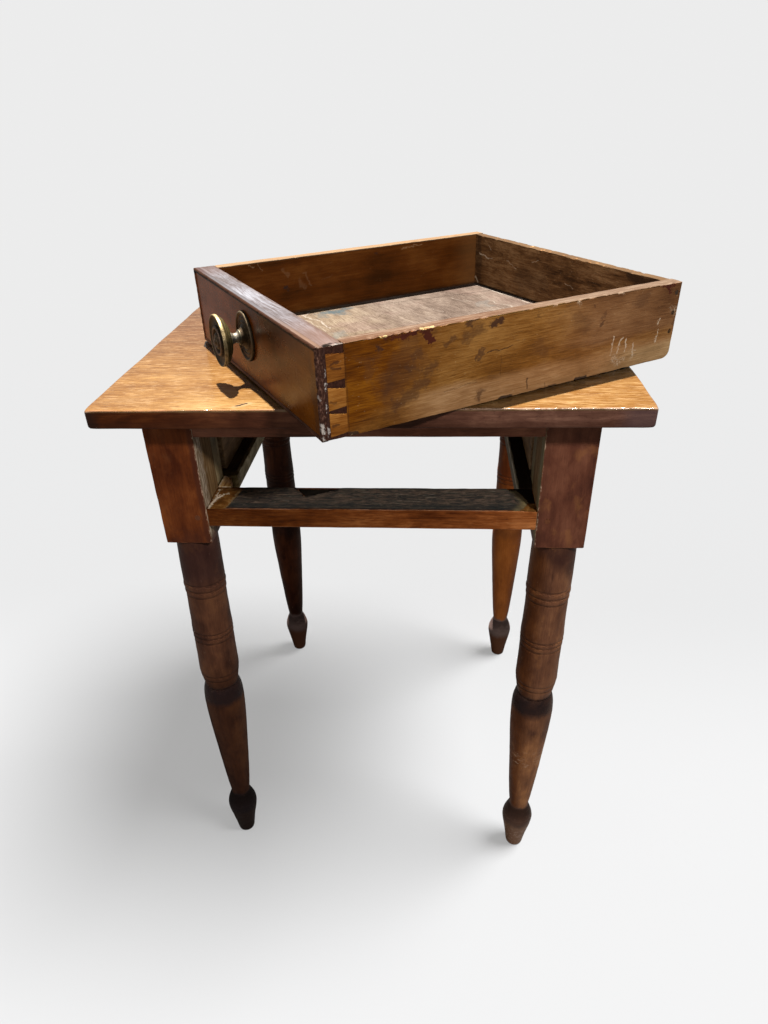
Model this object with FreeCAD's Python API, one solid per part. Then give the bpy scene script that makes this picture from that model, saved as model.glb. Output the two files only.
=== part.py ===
import FreeCAD, Part
import math
import os

from FreeCAD import Vector as V

os.makedirs("parts", exist_ok=True)

# Tavern table with one drawer. Millimetres, +Z up, +X to the right and +Y to the back seen from
# the front. The origin is on the floor, midway between the legs. The drawer is out of its bay and
# stands askew on the tabletop.

# ---- driving dimensions ------------------------------------------------------------------
H = 700.0            # height of the top's upper face
TOP_T = 19.0         # top thickness
TOP_W = 525.2        # top, left to right
TOP_D = 542.0        # top, front to back
TOP_CORNER = 3.5     # plan radius of the top's corners
TOP_EASE = 2.6       # rounding of the top's edges

LEG_X = 199.3        # leg axis from the middle, left and right
LEG_Y = 210.9        # leg axis from the middle, front and back
BLOCK = 51.4         # square block, side
BLOCK_Z = 531.6      # lower end of the block
LEAN = {             # how far each foot stands off its block's axis (x, y)
    "front_left": (-12.5, 0.0),
    "front_right": (-5.0, 0.0),
    "back_left": (0.0, 0.0),
    "back_right": (0.0, 0.0),
}

RAIL_T = 22.5        # lower rail, height of its section
RAIL_TOP = 575.9     # lower rail's upper face: the drawer runs on it
RAIL_D = 48.6        # lower rail, front to back
URAIL_Z = 657.5      # upper rail's lower face
URAIL_D = 44.0       # upper rail, front to back

APRON_T = 19.0       # side and back apron thickness
APRON_IN = 1.0       # aprons stand in from the blocks' outer faces by this
TENON_T = 7.0
TENON_L = 25.0
TENON_SH = 15.0      # shoulder above and below an apron's tenon

RUN_IN = 158.0       # inner edge of the runners, from the middle
RUN_T_L = 17.0       # left runner, height of its section
RUN_T_R = 17.0       # right runner, the same

DR_W = 344.7         # drawer front, width
DR_H = 78.5          # drawer height
DR_D = 383.2         # drawer, front face to back end
DR_TF = 23.3         # front thickness
DR_TS = 13.8         # side thickness
DR_TB = 10.5         # back thickness
DR_LAP = 7.5         # wood left in front of the dovetails
DR_FLOOR = 19.0      # height of the bottom board's upper face
DR_BT = 9.0          # bottom board thickness
GROOVE = 5.5         # depth of the groove in the sides and front
DR_AT = (-114.2, -197.7)   # middle of the front's lower edge, on the top
DR_TURN = -58.14     # the drawer's turn about +Z, degrees
BEAD_W = 3.4         # cock bead, width on the face
BEAD_D = 4.8         # let into the front by this
BEAD_OUT = 1.4       # stands proud by this

KNOB_U, KNOB_W = -4.0, 44.5   # knob centre on the drawer front
KNOB_R = 25.6
PLATE_R = 25.0

SAVED = []


def save(shape, name):
    shape = shape.removeSplitter() if len(shape.Solids) == 1 else shape
    assert shape.isValid(), name
    shape.exportStep("parts/%s.step" % name)
    SAVED.append((name, len(shape.Solids), shape.Volume))


def box(x0, y0, z0, x1, y1, z1):
    return Part.makeBox(x1 - x0, y1 - y0, z1 - z0, V(x0, y0, z0))


def prism(points, z0, z1):
    w = Part.makePolygon([V(x, y, z0) for x, y in points] + [V(points[0][0], points[0][1], z0)])
    return Part.Face(w).extrude(V(0, 0, z1 - z0))


def rounded_plate(w, d, z0, z1, corner, ease):
    b = box(-w / 2, -d / 2, z0, w / 2, d / 2, z1)
    up = [e for e in b.Edges if abs(e.Vertexes[0].Z - e.Vertexes[-1].Z) > 1]
    b = b.makeFillet(corner, up)
    rims = [e for e in b.Edges if all(abs(v.Z - z1) < 1e-6 for v in e.Vertexes)]
    b = b.makeFillet(ease, rims)
    rims = [e for e in b.Edges if all(abs(v.Z - z0) < 1e-6 for v in e.Vertexes)]
    return b.makeFillet(ease * 0.7, rims)


# ---- legs --------------------------------------------------------------------------------
# The turned profile: runs of (height, radius). Each run is one smooth curve; the runs meet in
# sharp grooves and shoulders.
LEG_RUNS = [
    [(541.6, 23.4), (531.6, 23.5), (515.0, 23.9), (490.0, 24.3), (471.5, 24.4)],
    [(471.5, 24.4), (469.6, 23.3)],
    [(469.6, 23.3), (468.2, 24.3), (465.0, 24.9), (461.9, 24.3), (460.8, 23.2)],
    [(460.8, 23.2), (459.6, 23.9), (456.4, 24.4), (453.6, 23.9), (452.4, 22.9)],
    [(452.4, 22.9), (450.8, 23.6), (436.0, 23.7), (413.0, 24.2), (400.4, 24.8), (398.4, 24.8)],
    [(398.4, 24.8), (396.8, 23.7)],
    [(396.8, 23.7), (395.5, 24.7), (393.6, 24.9), (391.8, 24.6), (390.6, 23.7)],
    [(390.6, 23.7), (389.4, 24.5), (387.0, 24.7), (384.6, 24.4), (383.2, 23.5)],
    [(383.2, 23.5), (381.6, 24.3), (357.0, 24.5), (340.0, 24.9), (332.0, 24.9), (328.9, 24.6)],
    [(328.9, 24.6), (327.4, 23.6)],
    [(327.4, 23.6), (326.0, 24.2), (323.0, 24.0), (320.6, 23.5), (319.5, 22.5)],
    [(319.5, 22.5), (317.8, 23.0), (313.0, 22.4), (308.5, 21.4), (305.8, 20.9), (304.6, 20.6)],
    [(304.6, 20.6), (303.2, 21.5), (300.5, 22.9), (296.0, 24.0), (290.5, 24.9), (284.0, 25.4),
     (276.0, 25.6), (266.0, 25.5), (255.0, 25.2), (236.0, 24.3), (213.5, 22.8), (190.0, 21.2),
     (166.0, 19.6), (141.0, 17.8), (116.0, 15.8), (102.0, 14.5), (93.0, 13.5), (88.0, 13.0),
     (84.6, 13.1)],
    [(84.6, 13.1), (82.5, 14.3), (79.0, 16.2), (74.0, 18.1), (68.0, 19.3), (60.0, 20.0),
     (52.0, 20.1), (44.0, 19.5), (35.0, 18.2), (26.0, 16.6), (16.0, 14.9), (7.0, 13.5),
     (0.0, 12.4), (-4.0, 11.8)],
]


def turned():
    edges = []
    top_z, top_r = LEG_RUNS[0][0]
    bot_z, bot_r = LEG_RUNS[-1][-1]
    edges.append(Part.makeLine(V(0, 0, top_z), V(top_r, 0, top_z)))
    for run in LEG_RUNS:
        pts = [V(r, 0, z) for z, r in run]
        if len(pts) == 2:
            edges.append(Part.makeLine(pts[0], pts[1]))
        else:
            c = Part.BSplineCurve()
            c.interpolate(pts)
            edges.append(c.toShape())
    edges.append(Part.makeLine(V(bot_r, 0, bot_z), V(0, 0, bot_z)))
    edges.append(Part.makeLine(V(0, 0, bot_z), V(0, 0, top_z)))
    face = Part.Face(Part.Wire(edges))
    return face.revolve(V(0, 0, 0), V(0, 0, 1), 360)


h = BLOCK / 2
SHAFT = turned()
APRON_OX = LEG_X + h - APRON_IN          # side apron, outer face
APRON_IX = APRON_OX - APRON_T
APRON_OY = LEG_Y + h - APRON_IN          # back apron, outer face
APRON_IY = APRON_OY - APRON_T
APRON_Z0, APRON_Z1 = RAIL_TOP - RAIL_T, H - TOP_T
TEN_Z0, TEN_Z1 = APRON_Z0 + TENON_SH, APRON_Z1 - TENON_SH
FRONT_Y = -LEG_Y - h + 0.4               # front faces of the rails
INNER_X = LEG_X - h                      # inner faces of the blocks
INNER_Y = LEG_Y - h


def side_tenons(sx):
    xc = sx * (APRON_OX + APRON_IX) / 2
    out = []
    for sy in (-1, 1):
        y0, y1 = sorted((sy * INNER_Y, sy * (INNER_Y + TENON_L)))
        out.append(box(xc - TENON_T / 2, y0, TEN_Z0, xc + TENON_T / 2, y1, TEN_Z1))
    return out


def back_tenons():
    yc = (APRON_OY + APRON_IY) / 2
    out = []
    for sx in (-1, 1):
        x0, x1 = sorted((sx * INNER_X, sx * (INNER_X + TENON_L)))
        out.append(box(x0, yc - TENON_T / 2, TEN_Z0, x1, yc + TENON_T / 2, TEN_Z1))
    return out


RT_L, RT_D, RT_H = 22.0, 32.0, 12.0      # lower rail's tenon: length, depth, height


def rail_tenons():
    zc = RAIL_TOP - RAIL_T / 2
    out = []
    for sx in (-1, 1):
        x0, x1 = sorted((sx * INNER_X, sx * (INNER_X + RT_L)))
        out.append(box(x0, FRONT_Y + 7, zc - RT_H / 2, x1, FRONT_Y + 7 + RT_D, zc + RT_H / 2))
    return out


DT_L, DT_N, DT_W, DT_H = 24.0, 20.0, 29.0, 13.0   # upper rail's dovetail: length, neck, end, depth


def dovetails():
    yc = FRONT_Y + URAIL_D / 2
    out = []
    for sx in (-1, 1):
        pts = [(sx * INNER_X, yc - DT_N / 2), (sx * (INNER_X + DT_L), yc - DT_W / 2),
               (sx * (INNER_X + DT_L), yc + DT_W / 2), (sx * INNER_X, yc + DT_N / 2)]
        if sx < 0:
            pts.reverse()
        out.append(prism(pts, APRON_Z1 - DT_H, APRON_Z1))
    return out


PEG_R = 3.0
PEG_AT = [(sx, sx * (INNER_X + 11.0)) for sx in (-1, 1)]


def pegs():
    """One peg in each front block, driven from the front through the lower rail's tenon."""
    out = []
    for sx, x in PEG_AT:
        z = RAIL_TOP - RAIL_T / 2 - 0.5
        out.append(Part.makeCylinder(PEG_R, 42.3, V(x, -LEG_Y - h - 0.3, z), V(0, 1, 0)))
    return out


ALL_TENONS = {-1: side_tenons(-1), 1: side_tenons(1)}
RAIL_TEN = rail_tenons()
DOVES = dovetails()
BACK_TEN = back_tenons()
PEGS = pegs()

for name, sx, sy in (("front_left", -1, -1), ("front_right", 1, -1), ("back_left", -1, 1), ("back_right", 1, 1)):
    x, y = sx * LEG_X, sy * LEG_Y
    block = box(x - h, y - h, BLOCK_Z, x + h, y + h, APRON_Z1)
    low = [e for e in block.Edges if all(abs(v.Z - BLOCK_Z) < 1e-6 for v in e.Vertexes)]
    block = block.makeChamfer(1.0, low)
    shaft = SHAFT.copy()
    dx, dy = LEAN[name]
    if dx or dy:
        # the shaft turns about the middle of the block's lower end
        shaft.rotate(V(0, 0, BLOCK_Z), V(0, 1, 0), math.degrees(math.atan2(-dx, BLOCK_Z)))
    shaft.translate(V(x, y, 0))
    leg = block.fuse(shaft)
    leg = leg.cut(box(x - 80, y - 80, -40, x + 80, y + 80, 0))
    cuts = list(ALL_TENONS[sx])
    if sy < 0:
        cuts += RAIL_TEN + DOVES + PEGS
    else:
        cuts += BACK_TEN
    for c in cuts:
        if c.BoundBox.intersect(leg.BoundBox):
            leg = leg.cut(c)
    save(leg, "leg_" + name)

pegset = Part.makeCompound(PEGS)
save(pegset, "rail_pegs")

# ---- top ---------------------------------------------------------------------------------
save(rounded_plate(TOP_W, TOP_D, H - TOP_T, H, TOP_CORNER, TOP_EASE), "tabletop")

# ---- aprons ------------------------------------------------------------------------------
for side, sx in (("left", -1), ("right", 1)):
    x0, x1 = sorted((sx * APRON_IX, sx * APRON_OX))
    a = box(x0, -INNER_Y, APRON_Z0, x1, INNER_Y, APRON_Z1)
    for t in ALL_TENONS[sx]:
        a = a.fuse(t)
    save(a, "apron_" + side)
a = box(-INNER_X, APRON_IY, APRON_Z0, INNER_X, APRON_OY, APRON_Z1)
for t in BACK_TEN:
    a = a.fuse(t)
save(a, "apron_back")

# ---- front rails -------------------------------------------------------------------------
r = box(-INNER_X, FRONT_Y, RAIL_TOP - RAIL_T, INNER_X, FRONT_Y + RAIL_D, RAIL_TOP)
top_front = [e for e in r.Edges if all(abs(v.Z - RAIL_TOP) < 1e-6 and abs(v.Y - FRONT_Y) < 1e-6 for v in e.Vertexes)]
r = r.makeFillet(1.2, top_front)
# a piece has split off the rail's upper back edge, left of the middle
back_y = FRONT_Y + RAIL_D
chip = [V(-85.0, back_y + 1, RAIL_TOP + 1), V(-32.0, back_y + 1, RAIL_TOP + 1), V(-70.0, back_y - 21.0, RAIL_TOP + 1)]
low = [V(-82.0, back_y + 1, RAIL_TOP - 9.0), V(-40.0, back_y + 1, RAIL_TOP - 7.0), V(-70.0, back_y - 21.0, RAIL_TOP - 0.1)]


def hull6(a, b):
    faces = [Part.Face(Part.makePolygon([a[0], a[1], a[2], a[0]])), Part.Face(Part.makePolygon([b[0], b[1], b[2], b[0]]))]
    for i in range(3):
        j = (i + 1) % 3
        faces.append(Part.Face(Part.makePolygon([a[i], a[j], b[j], a[i]])))
        faces.append(Part.Face(Part.makePolygon([a[i], b[j], b[i], a[i]])))
    return Part.Solid(Part.makeShell(faces))


wedge = hull6(chip, low)
if wedge.Volume < 0:
    wedge.reverse()
r = r.cut(wedge)
for t in RAIL_TEN:
    r = r.fuse(t)
for p in PEGS:
    r = r.cut(p)
save(r, "rail_lower")

u = box(-INNER_X, FRONT_Y, URAIL_Z, INNER_X, FRONT_Y + URAIL_D, APRON_Z1)
for t in DOVES:
    u = u.fuse(t)
save(u, "rail_upper")

# ---- runners, guides, kickers, glue blocks ------------------------------------------------
RAIL_BACK = FRONT_Y + RAIL_D
LET_IN = 28.0        # the left runner's let-in end, front to back


def runner(sx, y0, t):
    """A strip from y0 to the back apron, notched round the front and back blocks."""
    z0 = RAIL_TOP - t
    a, b = sorted((sx * RUN_IN, sx * INNER_X))
    s = box(a, y0, z0, b, APRON_IY, RAIL_TOP)
    a, b = sorted((sx * INNER_X, sx * APRON_IX))
    return s.fuse(box(a, max(y0, -INNER_Y), z0, b, INNER_Y, RAIL_TOP))


save(runner(-1, RAIL_BACK + LET_IN, RUN_T_L), "runner_left")
save(runner(1, RAIL_BACK, RUN_T_R), "runner_right")
end = box(-INNER_X, RAIL_BACK, RAIL_TOP - RUN_T_L, -RUN_IN + 3.0, RAIL_BACK + LET_IN, RAIL_TOP)
up = [e for e in end.Edges if abs(e.Vertexes[0].X - (-RUN_IN + 3.0)) < 1e-6 and abs(e.Vertexes[-1].X - (-RUN_IN + 3.0)) < 1e-6
      and abs(e.Vertexes[0].Z - e.Vertexes[-1].Z) > 1]
end = end.makeChamfer(2.4, up)
save(end, "runner_left_end")

CORNER_B = 25.0
for side, sx in (("left", -1), ("right", 1)):
    a, b = sorted((sx * (INNER_X + 1.0), sx * APRON_IX))
    blk = box(a, -INNER_Y, RAIL_TOP, b, -INNER_Y + CORNER_B, APRON_Z1)
    save(blk, "corner_block_" + side)
    g0, g1 = sorted((sx * (INNER_X + 1.6), sx * APRON_IX))
    g = box(g0, -INNER_Y + CORNER_B + 18.0, RAIL_TOP, g1, INNER_Y - 6.0, RAIL_TOP + 44.0)
    inner_top = [e for e in g.Edges if all(abs(v.Z - RAIL_TOP - 44.0) < 1e-6 and abs(abs(v.X) - INNER_X - 1.6) < 1e-6 for v in e.Vertexes)]
    save(g.makeChamfer(4.0, inner_top), "guide_" + side)
    k0, k1 = sorted((sx * (RUN_IN + 1.0), sx * INNER_X))
    save(box(k0, FRONT_Y + URAIL_D, URAIL_Z + 0.5, k1, APRON_IY, APRON_Z1), "kicker_" + side)

gb = []
for y in (-70.0, 70.0):
    for sx in (-1, 1):
        pts = [(sx * APRON_IX, 0.0), (sx * (APRON_IX - 22.0), 0.0), (sx * APRON_IX, -22.0)]
        w = Part.makePolygon([V(px, y - 25, APRON_Z1 + pz) for px, pz in pts + pts[:1]])
        gb.append(Part.Face(w).extrude(V(0, 50, 0)))
for x in (-75.0, 75.0):
    pts = [(APRON_IY, 0.0), (APRON_IY - 22.0, 0.0), (APRON_IY, -22.0)]
    w = Part.makePolygon([V(x - 25, py, APRON_Z1 + pz) for py, pz in pts + pts[:1]])
    gb.append(Part.Face(w).extrude(V(50, 0, 0)))
save(Part.makeCompound(gb), "top_glue_blocks")

# ---- drawer ------------------------------------------------------------------------------
# Built at home: u = X along the front, v = Y from the front face back, w = Z from the lower edge.
W2 = DR_W / 2
IN2 = W2 - DR_TS


def place(shape):
    s = shape.copy()
    s.rotate(V(0, 0, 0), V(0, 0, 1), DR_TURN)
    s.translate(V(DR_AT[0], DR_AT[1], H))
    return s


# tails, seen on the drawer's side: (lower, upper) at the shoulder and at the end by the face
TAILS = [((4.0, 20.4), (2.8, 23.6)), ((27.1, 42.3), (25.6, 45.2)), ((50.3, 70.8), (49.2, 72.6))]
FRONT_LIFT = 0.5     # the front's lower edge clears the surface the sides stand on


def tails(sx):
    out = []
    for (a0, a1), (b0, b1) in TAILS:
        x = IN2 if sx > 0 else -W2
        pts = [V(x, DR_TF, a0), V(x, DR_TF, a1), V(x, DR_LAP, b1), V(x, DR_LAP, b0), V(x, DR_TF, a0)]
        out.append(Part.Face(Part.makePolygon(pts)).extrude(V(DR_TS, 0, 0)))
    return out


B0, B1 = FRONT_LIFT, DR_H     # the front's lower and upper edges

front = box(-W2, 0, B0, W2, DR_TF, B1)
# rebate round the face for the beads
inner = box(-W2 + BEAD_W, 0, B0 + BEAD_W, W2 - BEAD_W, BEAD_D, B1 - BEAD_W)
front = front.cut(box(-W2, 0, B0, W2, BEAD_D, B1).cut(inner))
for sx in (-1, 1):
    for t in tails(sx):
        front = front.cut(t)
FLOOR0 = DR_FLOOR - DR_BT
front = front.cut(box(-IN2 - 0.01, DR_TF - GROOVE, FLOOR0, IN2 + 0.01, DR_TF, DR_FLOOR))


def bead(p0, p1, inward):
    """A cock-bead strip from p0 to p1 (face corners, (u, w)), mitred, with a rounded nose."""
    d = V(p1[0] - p0[0], 0, p1[1] - p0[1])
    n = V(inward[0], 0, inward[1])
    r_ = BEAD_OUT
    a = V(p0[0], 0, p0[1])
    prof = [a + V(0, BEAD_D, 0), a, a + V(0, -r_ * 0.45, 0) + n * 0.25,
            a + V(0, -r_, 0) + n * (BEAD_W * 0.36), a + V(0, -r_, 0) + n * (BEAD_W * 0.64),
            a + V(0, -r_ * 0.45, 0) + n * (BEAD_W - 0.25), a + n * BEAD_W, a + n * BEAD_W + V(0, BEAD_D, 0)]
    w = Part.Wire([Part.makeLine(prof[0], prof[1]),
                   Part.Arc(prof[1], prof[2], prof[3]).toShape(), Part.makeLine(prof[3], prof[4]),
                   Part.Arc(prof[4], prof[5], prof[6]).toShape(), Part.makeLine(prof[6], prof[7]),
                   Part.makeLine(prof[7], prof[0])])
    s = Part.Face(w).extrude(d)
    # mitres: keep the 45-degree trapezium
    t = d.normalize()
    q0, q1 = V(p0[0], -9, p0[1]), V(p1[0], -9, p1[1])
    o = BEAD_W + 2
    pts = [q0 - n * 0.0, q1, q1 - t * o + n * o, q0 + t * o + n * o]
    keep = Part.Face(Part.makePolygon(pts + [pts[0]])).extrude(V(0, 30, 0))
    return s.common(keep)


beads = {
    "cock_bead_bottom": bead((-W2, B0), (W2, B0), (0, 1)),
    "cock_bead_top": bead((-W2, B1), (W2, B1), (0, -1)),
    "cock_bead_left": bead((-W2, B0), (-W2, B1), (1, 0)),
    "cock_bead_right": bead((W2, B0), (W2, B1), (-1, 0)),
}
for n_, s in beads.items():
    save(place(s), n_)

# sides: tails at the front, a groove for the bottom, the rear lower corner rounded off
nails = []
for side, sx in (("left", -1), ("right", 1)):
    x0, x1 = sorted((sx * IN2, sx * W2))
    s = box(x0, DR_TF, 0, x1, DR_D, DR_H)
    low_rear = [e for e in s.Edges if all(abs(v.Y - DR_D) < 1e-6 and abs(v.Z) < 1e-6 for v in e.Vertexes)]
    s = s.makeFillet(9.0, low_rear)
    for t in tails(sx):
        s = s.fuse(t)
    g0, g1 = sorted((sx * IN2, sx * (IN2 + GROOVE)))
    s = s.cut(box(g0, 0, FLOOR0, g1, DR_D + 1, DR_FLOOR))
    outer_top = [e for e in s.Edges if all(abs(v.Z - DR_H) < 1e-6 for v in e.Vertexes)
                 and abs(e.Vertexes[0].Y - e.Vertexes[-1].Y) > 300]
    s = s.makeFillet(1.3, outer_top)
    for z in (30.0, 48.0, 67.0):
        head = Part.makeCylinder(2.2, 1.0, V(sx * W2, DR_D - DR_TB / 2, z), V(-sx, 0, 0))
        shank = Part.makeCylinder(1.0, 31.0, V(sx * W2, DR_D - DR_TB / 2, z), V(-sx, 0, 0))
        nails.append(head.fuse(shank).removeSplitter())
    for nl in nails[-3:]:
        s = s.cut(nl)
    save(place(s), "drawer_side_" + side)

back = box(-IN2, DR_D - DR_TB, DR_FLOOR, IN2, DR_D, DR_H - 0.6)
for nl in nails:
    back = back.cut(nl)
bnails = []
for x in (-110.0, 0.0, 110.0):
    hd = Part.makeCylinder(2.6, 1.2, V(x, DR_D - DR_TB / 2, FLOOR0), V(0, 0, 1))
    bnails.append(hd.fuse(Part.makeCylinder(1.1, 26.0, V(x, DR_D - DR_TB / 2, FLOOR0), V(0, 0, 1))).removeSplitter())
bottom = box(-IN2 - GROOVE, DR_TF - GROOVE, FLOOR0, IN2 + GROOVE, DR_D, DR_FLOOR)
bottom = bottom.cut(box(IN2, DR_TF - GROOVE - 1, FLOOR0 - 1, IN2 + GROOVE + 1, DR_TF, DR_FLOOR + 1))
bottom = bottom.cut(box(-IN2 - GROOVE - 1, DR_TF - GROOVE - 1, FLOOR0 - 1, -IN2, DR_TF, DR_FLOOR + 1))
for nl in bnails:
    back = back.cut(nl)
    bottom = bottom.cut(nl)
save(place(back), "drawer_back")
save(place(bottom), "drawer_bottom")
save(place(Part.makeCompound(nails)), "drawer_back_nails")
save(place(Part.makeCompound(bnails)), "drawer_bottom_nails")

# ---- knob --------------------------------------------------------------------------------
# Turned about the post's axis. Runs of (distance out from the front's face, radius).
POST_R = 2.6
HEAD = [
    [(7.0, 7.4), (9.0, 5.6), (12.0, 4.6), (15.0, 4.9), (17.2, 7.0)],
    [(17.2, 7.0), (17.6, 12.0), (19.0, 15.6), (20.6, 16.6)],
    [(20.6, 16.6), (20.8, 19.4), (22.6, 21.4), (24.2, 22.2)],
    [(24.2, 22.2), (24.6, 24.2), (26.4, 25.5), (28.2, 25.6), (30.0, 24.8), (30.8, 23.2), (30.3, 21.6)],
    [(30.3, 21.6), (28.2, 20.2), (27.6, 17.4), (28.4, 14.6)],
    [(28.4, 14.6), (30.2, 13.4), (30.6, 12.0), (29.8, 10.6)],
    [(29.8, 10.6), (28.8, 9.2), (29.2, 7.2), (31.0, 5.0), (32.4, 2.6), (32.9, 0.0)],
]


def revolve_knob(runs, close_to):
    """Revolves runs about the knob's axis, which runs out along -Y from the front's face."""
    edges = []
    for run in runs:
        pts = [V(r, -d, 0) for d, r in run]
        if len(pts) == 2:
            edges.append(Part.makeLine(pts[0], pts[1]))
        else:
            c = Part.BSplineCurve()
            c.interpolate(pts)
            edges.append(c.toShape())
    a, b = edges[0].Vertexes[0].Point, edges[-1].Vertexes[-1].Point
    for p in close_to:
        q = V(p[1], -p[0], 0)
        edges.append(Part.makeLine(b, q))
        b = q
    edges.append(Part.makeLine(b, a))
    s = Part.Face(Part.Wire(Part.__sortEdges__(edges))).revolve(V(0, 0, 0), V(0, 1, 0), 360)
    s.translate(V(KNOB_U, 0, KNOB_W))
    return s


POST_END = -(DR_TF + 8.0)
head = revolve_knob(HEAD, [(POST_END, 0.0), (POST_END, POST_R), (0.0, POST_R), (7.0, POST_R)])
plate = revolve_knob(
    [
        [(7.0, 7.4), (4.6, 8.6), (3.0, 10.6), (2.2, 13.0)],
        [(2.2, 13.0), (2.0, 17.0), (1.9, 20.2)],
        [(1.9, 20.2), (2.6, 21.0), (3.6, 22.3), (3.5, 23.8), (2.2, 24.8), (0.0, 25.0)],
    ],
    [(0.0, POST_R), (7.0, POST_R)],
)
front = front.cut(Part.makeCylinder(POST_R, DR_TF + 2, V(KNOB_U, -1, KNOB_W), V(0, 1, 0)))
nut = prism([(7.5 * math.cos(math.radians(a)), 7.5 * math.sin(math.radians(a))) for a in range(45, 405, 90)], 0, 3.5)
nut = nut.cut(Part.makeCylinder(POST_R, 6, V(0, 0, -1)))
nut.rotate(V(0, 0, 0), V(1, 0, 0), -90)
nut.translate(V(KNOB_U, DR_TF, KNOB_W))
save(place(front), "drawer_front")
save(place(head), "knob")
save(place(plate), "knob_backplate")
save(place(nut), "knob_nut")

for row in SAVED:
    print("%-22s solids %d volume %.0f mm3" % row)
print(len(SAVED), "nodes")
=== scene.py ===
import math
import random

import bmesh
import bpy
from mathutils import Matrix, Vector, noise


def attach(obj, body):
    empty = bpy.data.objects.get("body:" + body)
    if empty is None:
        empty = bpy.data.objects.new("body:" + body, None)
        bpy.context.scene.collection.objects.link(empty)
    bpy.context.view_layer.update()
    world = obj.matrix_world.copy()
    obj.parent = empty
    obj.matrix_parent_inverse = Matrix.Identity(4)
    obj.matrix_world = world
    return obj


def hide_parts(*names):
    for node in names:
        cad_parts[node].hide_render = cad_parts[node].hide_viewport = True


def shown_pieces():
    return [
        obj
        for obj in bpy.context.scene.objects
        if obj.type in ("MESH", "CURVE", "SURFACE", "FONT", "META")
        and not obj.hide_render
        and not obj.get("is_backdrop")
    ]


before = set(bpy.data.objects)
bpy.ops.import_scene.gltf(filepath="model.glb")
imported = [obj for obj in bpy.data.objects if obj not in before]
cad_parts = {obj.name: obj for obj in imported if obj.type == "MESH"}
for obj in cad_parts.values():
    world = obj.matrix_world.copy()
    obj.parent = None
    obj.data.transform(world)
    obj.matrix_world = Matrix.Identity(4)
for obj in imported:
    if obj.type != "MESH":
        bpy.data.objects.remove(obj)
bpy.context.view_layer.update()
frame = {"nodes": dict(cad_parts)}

NODES = frame["nodes"]
random.seed(7)

# ==========================================================================================
# measures, in millimetres, in the CAD frame
# ==========================================================================================
TOP = 700.0
LEG_X, LEG_Y, BH, BLOCK_Z = 199.3, 210.9, 25.7, 531.6
IX, IY = LEG_X - BH, LEG_Y - BH
FRONT_Y = -236.2
RAIL_TOP = 575.9
DA = Vector((-114.2, -197.7, 700.0))
PHI = math.radians(-58.14)
DU = Vector((math.cos(PHI), math.sin(PHI), 0.0))
DV = Vector((-math.sin(PHI), math.cos(PHI), 0.0))
DZ = Vector((0.0, 0.0, 1.0))


def to_drawer(p):
    """Drawer coordinates to the table's frame; the old drawer is a few millimetres out of square."""
    a = min(max((172.35 - p[0]) / 344.7, 0.0), 1.0)
    b = min(max(p[1] / 383.2, 0.0), 1.0)
    t = min(max(p[2] / 78.5, 0.0), 1.0)
    top = 4.0 * a * (1 - b) + 2.0 * a * b - 2.0 * (1 - a) * b
    low = 1.0 * a * (1 - b) + 3.0 * (1 - a) * b
    return DA + DU * p[0] + DV * p[1] + DZ * (p[2] + top * t + low * (1 - t) ** 3)


def as_is(p):
    return Vector(p)


# ==========================================================================================
# mesh tools
# ==========================================================================================
def make_object(name, verts, faces, body, place=as_is, mats=(), smooth=True, hides=(), face_mats=None):
    me = bpy.data.meshes.new(name)
    me.from_pydata([tuple(place(v) * 0.001) for v in verts], [], faces)
    for m in mats:
        me.materials.append(m)
    if face_mats:
        me.polygons.foreach_set("material_index", face_mats)
    bm = bmesh.new()
    bm.from_mesh(me)
    bmesh.ops.recalc_face_normals(bm, faces=bm.faces)
    bm.to_mesh(me)
    bm.free()
    me.update()
    if smooth:
        me.polygons.foreach_set("use_smooth", [True] * len(me.polygons))
    o = bpy.data.objects.new(name, me)
    bpy.context.scene.collection.objects.link(o)
    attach(o, body)
    if hides:
        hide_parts(*hides)
    return o


def stations(lo, hi, r, cell):
    """Grid lines from lo to hi, close together within r of both ends."""
    near = [0.0, 0.16 * r, 0.38 * r, 0.66 * r, r, 1.7 * r, 3.0 * r]
    if hi - lo < 7.5 * r:
        near = [0.0, 0.16 * r, 0.38 * r, 0.66 * r, r]
    a = [lo + d for d in near]
    b = [hi - d for d in near][::-1]
    n = max(1, int(round((b[0] - a[-1]) / cell)))
    mid = [a[-1] + (b[0] - a[-1]) * i / n for i in range(1, n)]
    return a + mid + b


def fbm(p, scale, seed=0.0):
    q = Vector((p[0] * scale + seed, p[1] * scale - seed * 0.7, p[2] * scale + seed * 0.31))
    return noise.fractal(q, 1.0, 2.0, 3)


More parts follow.
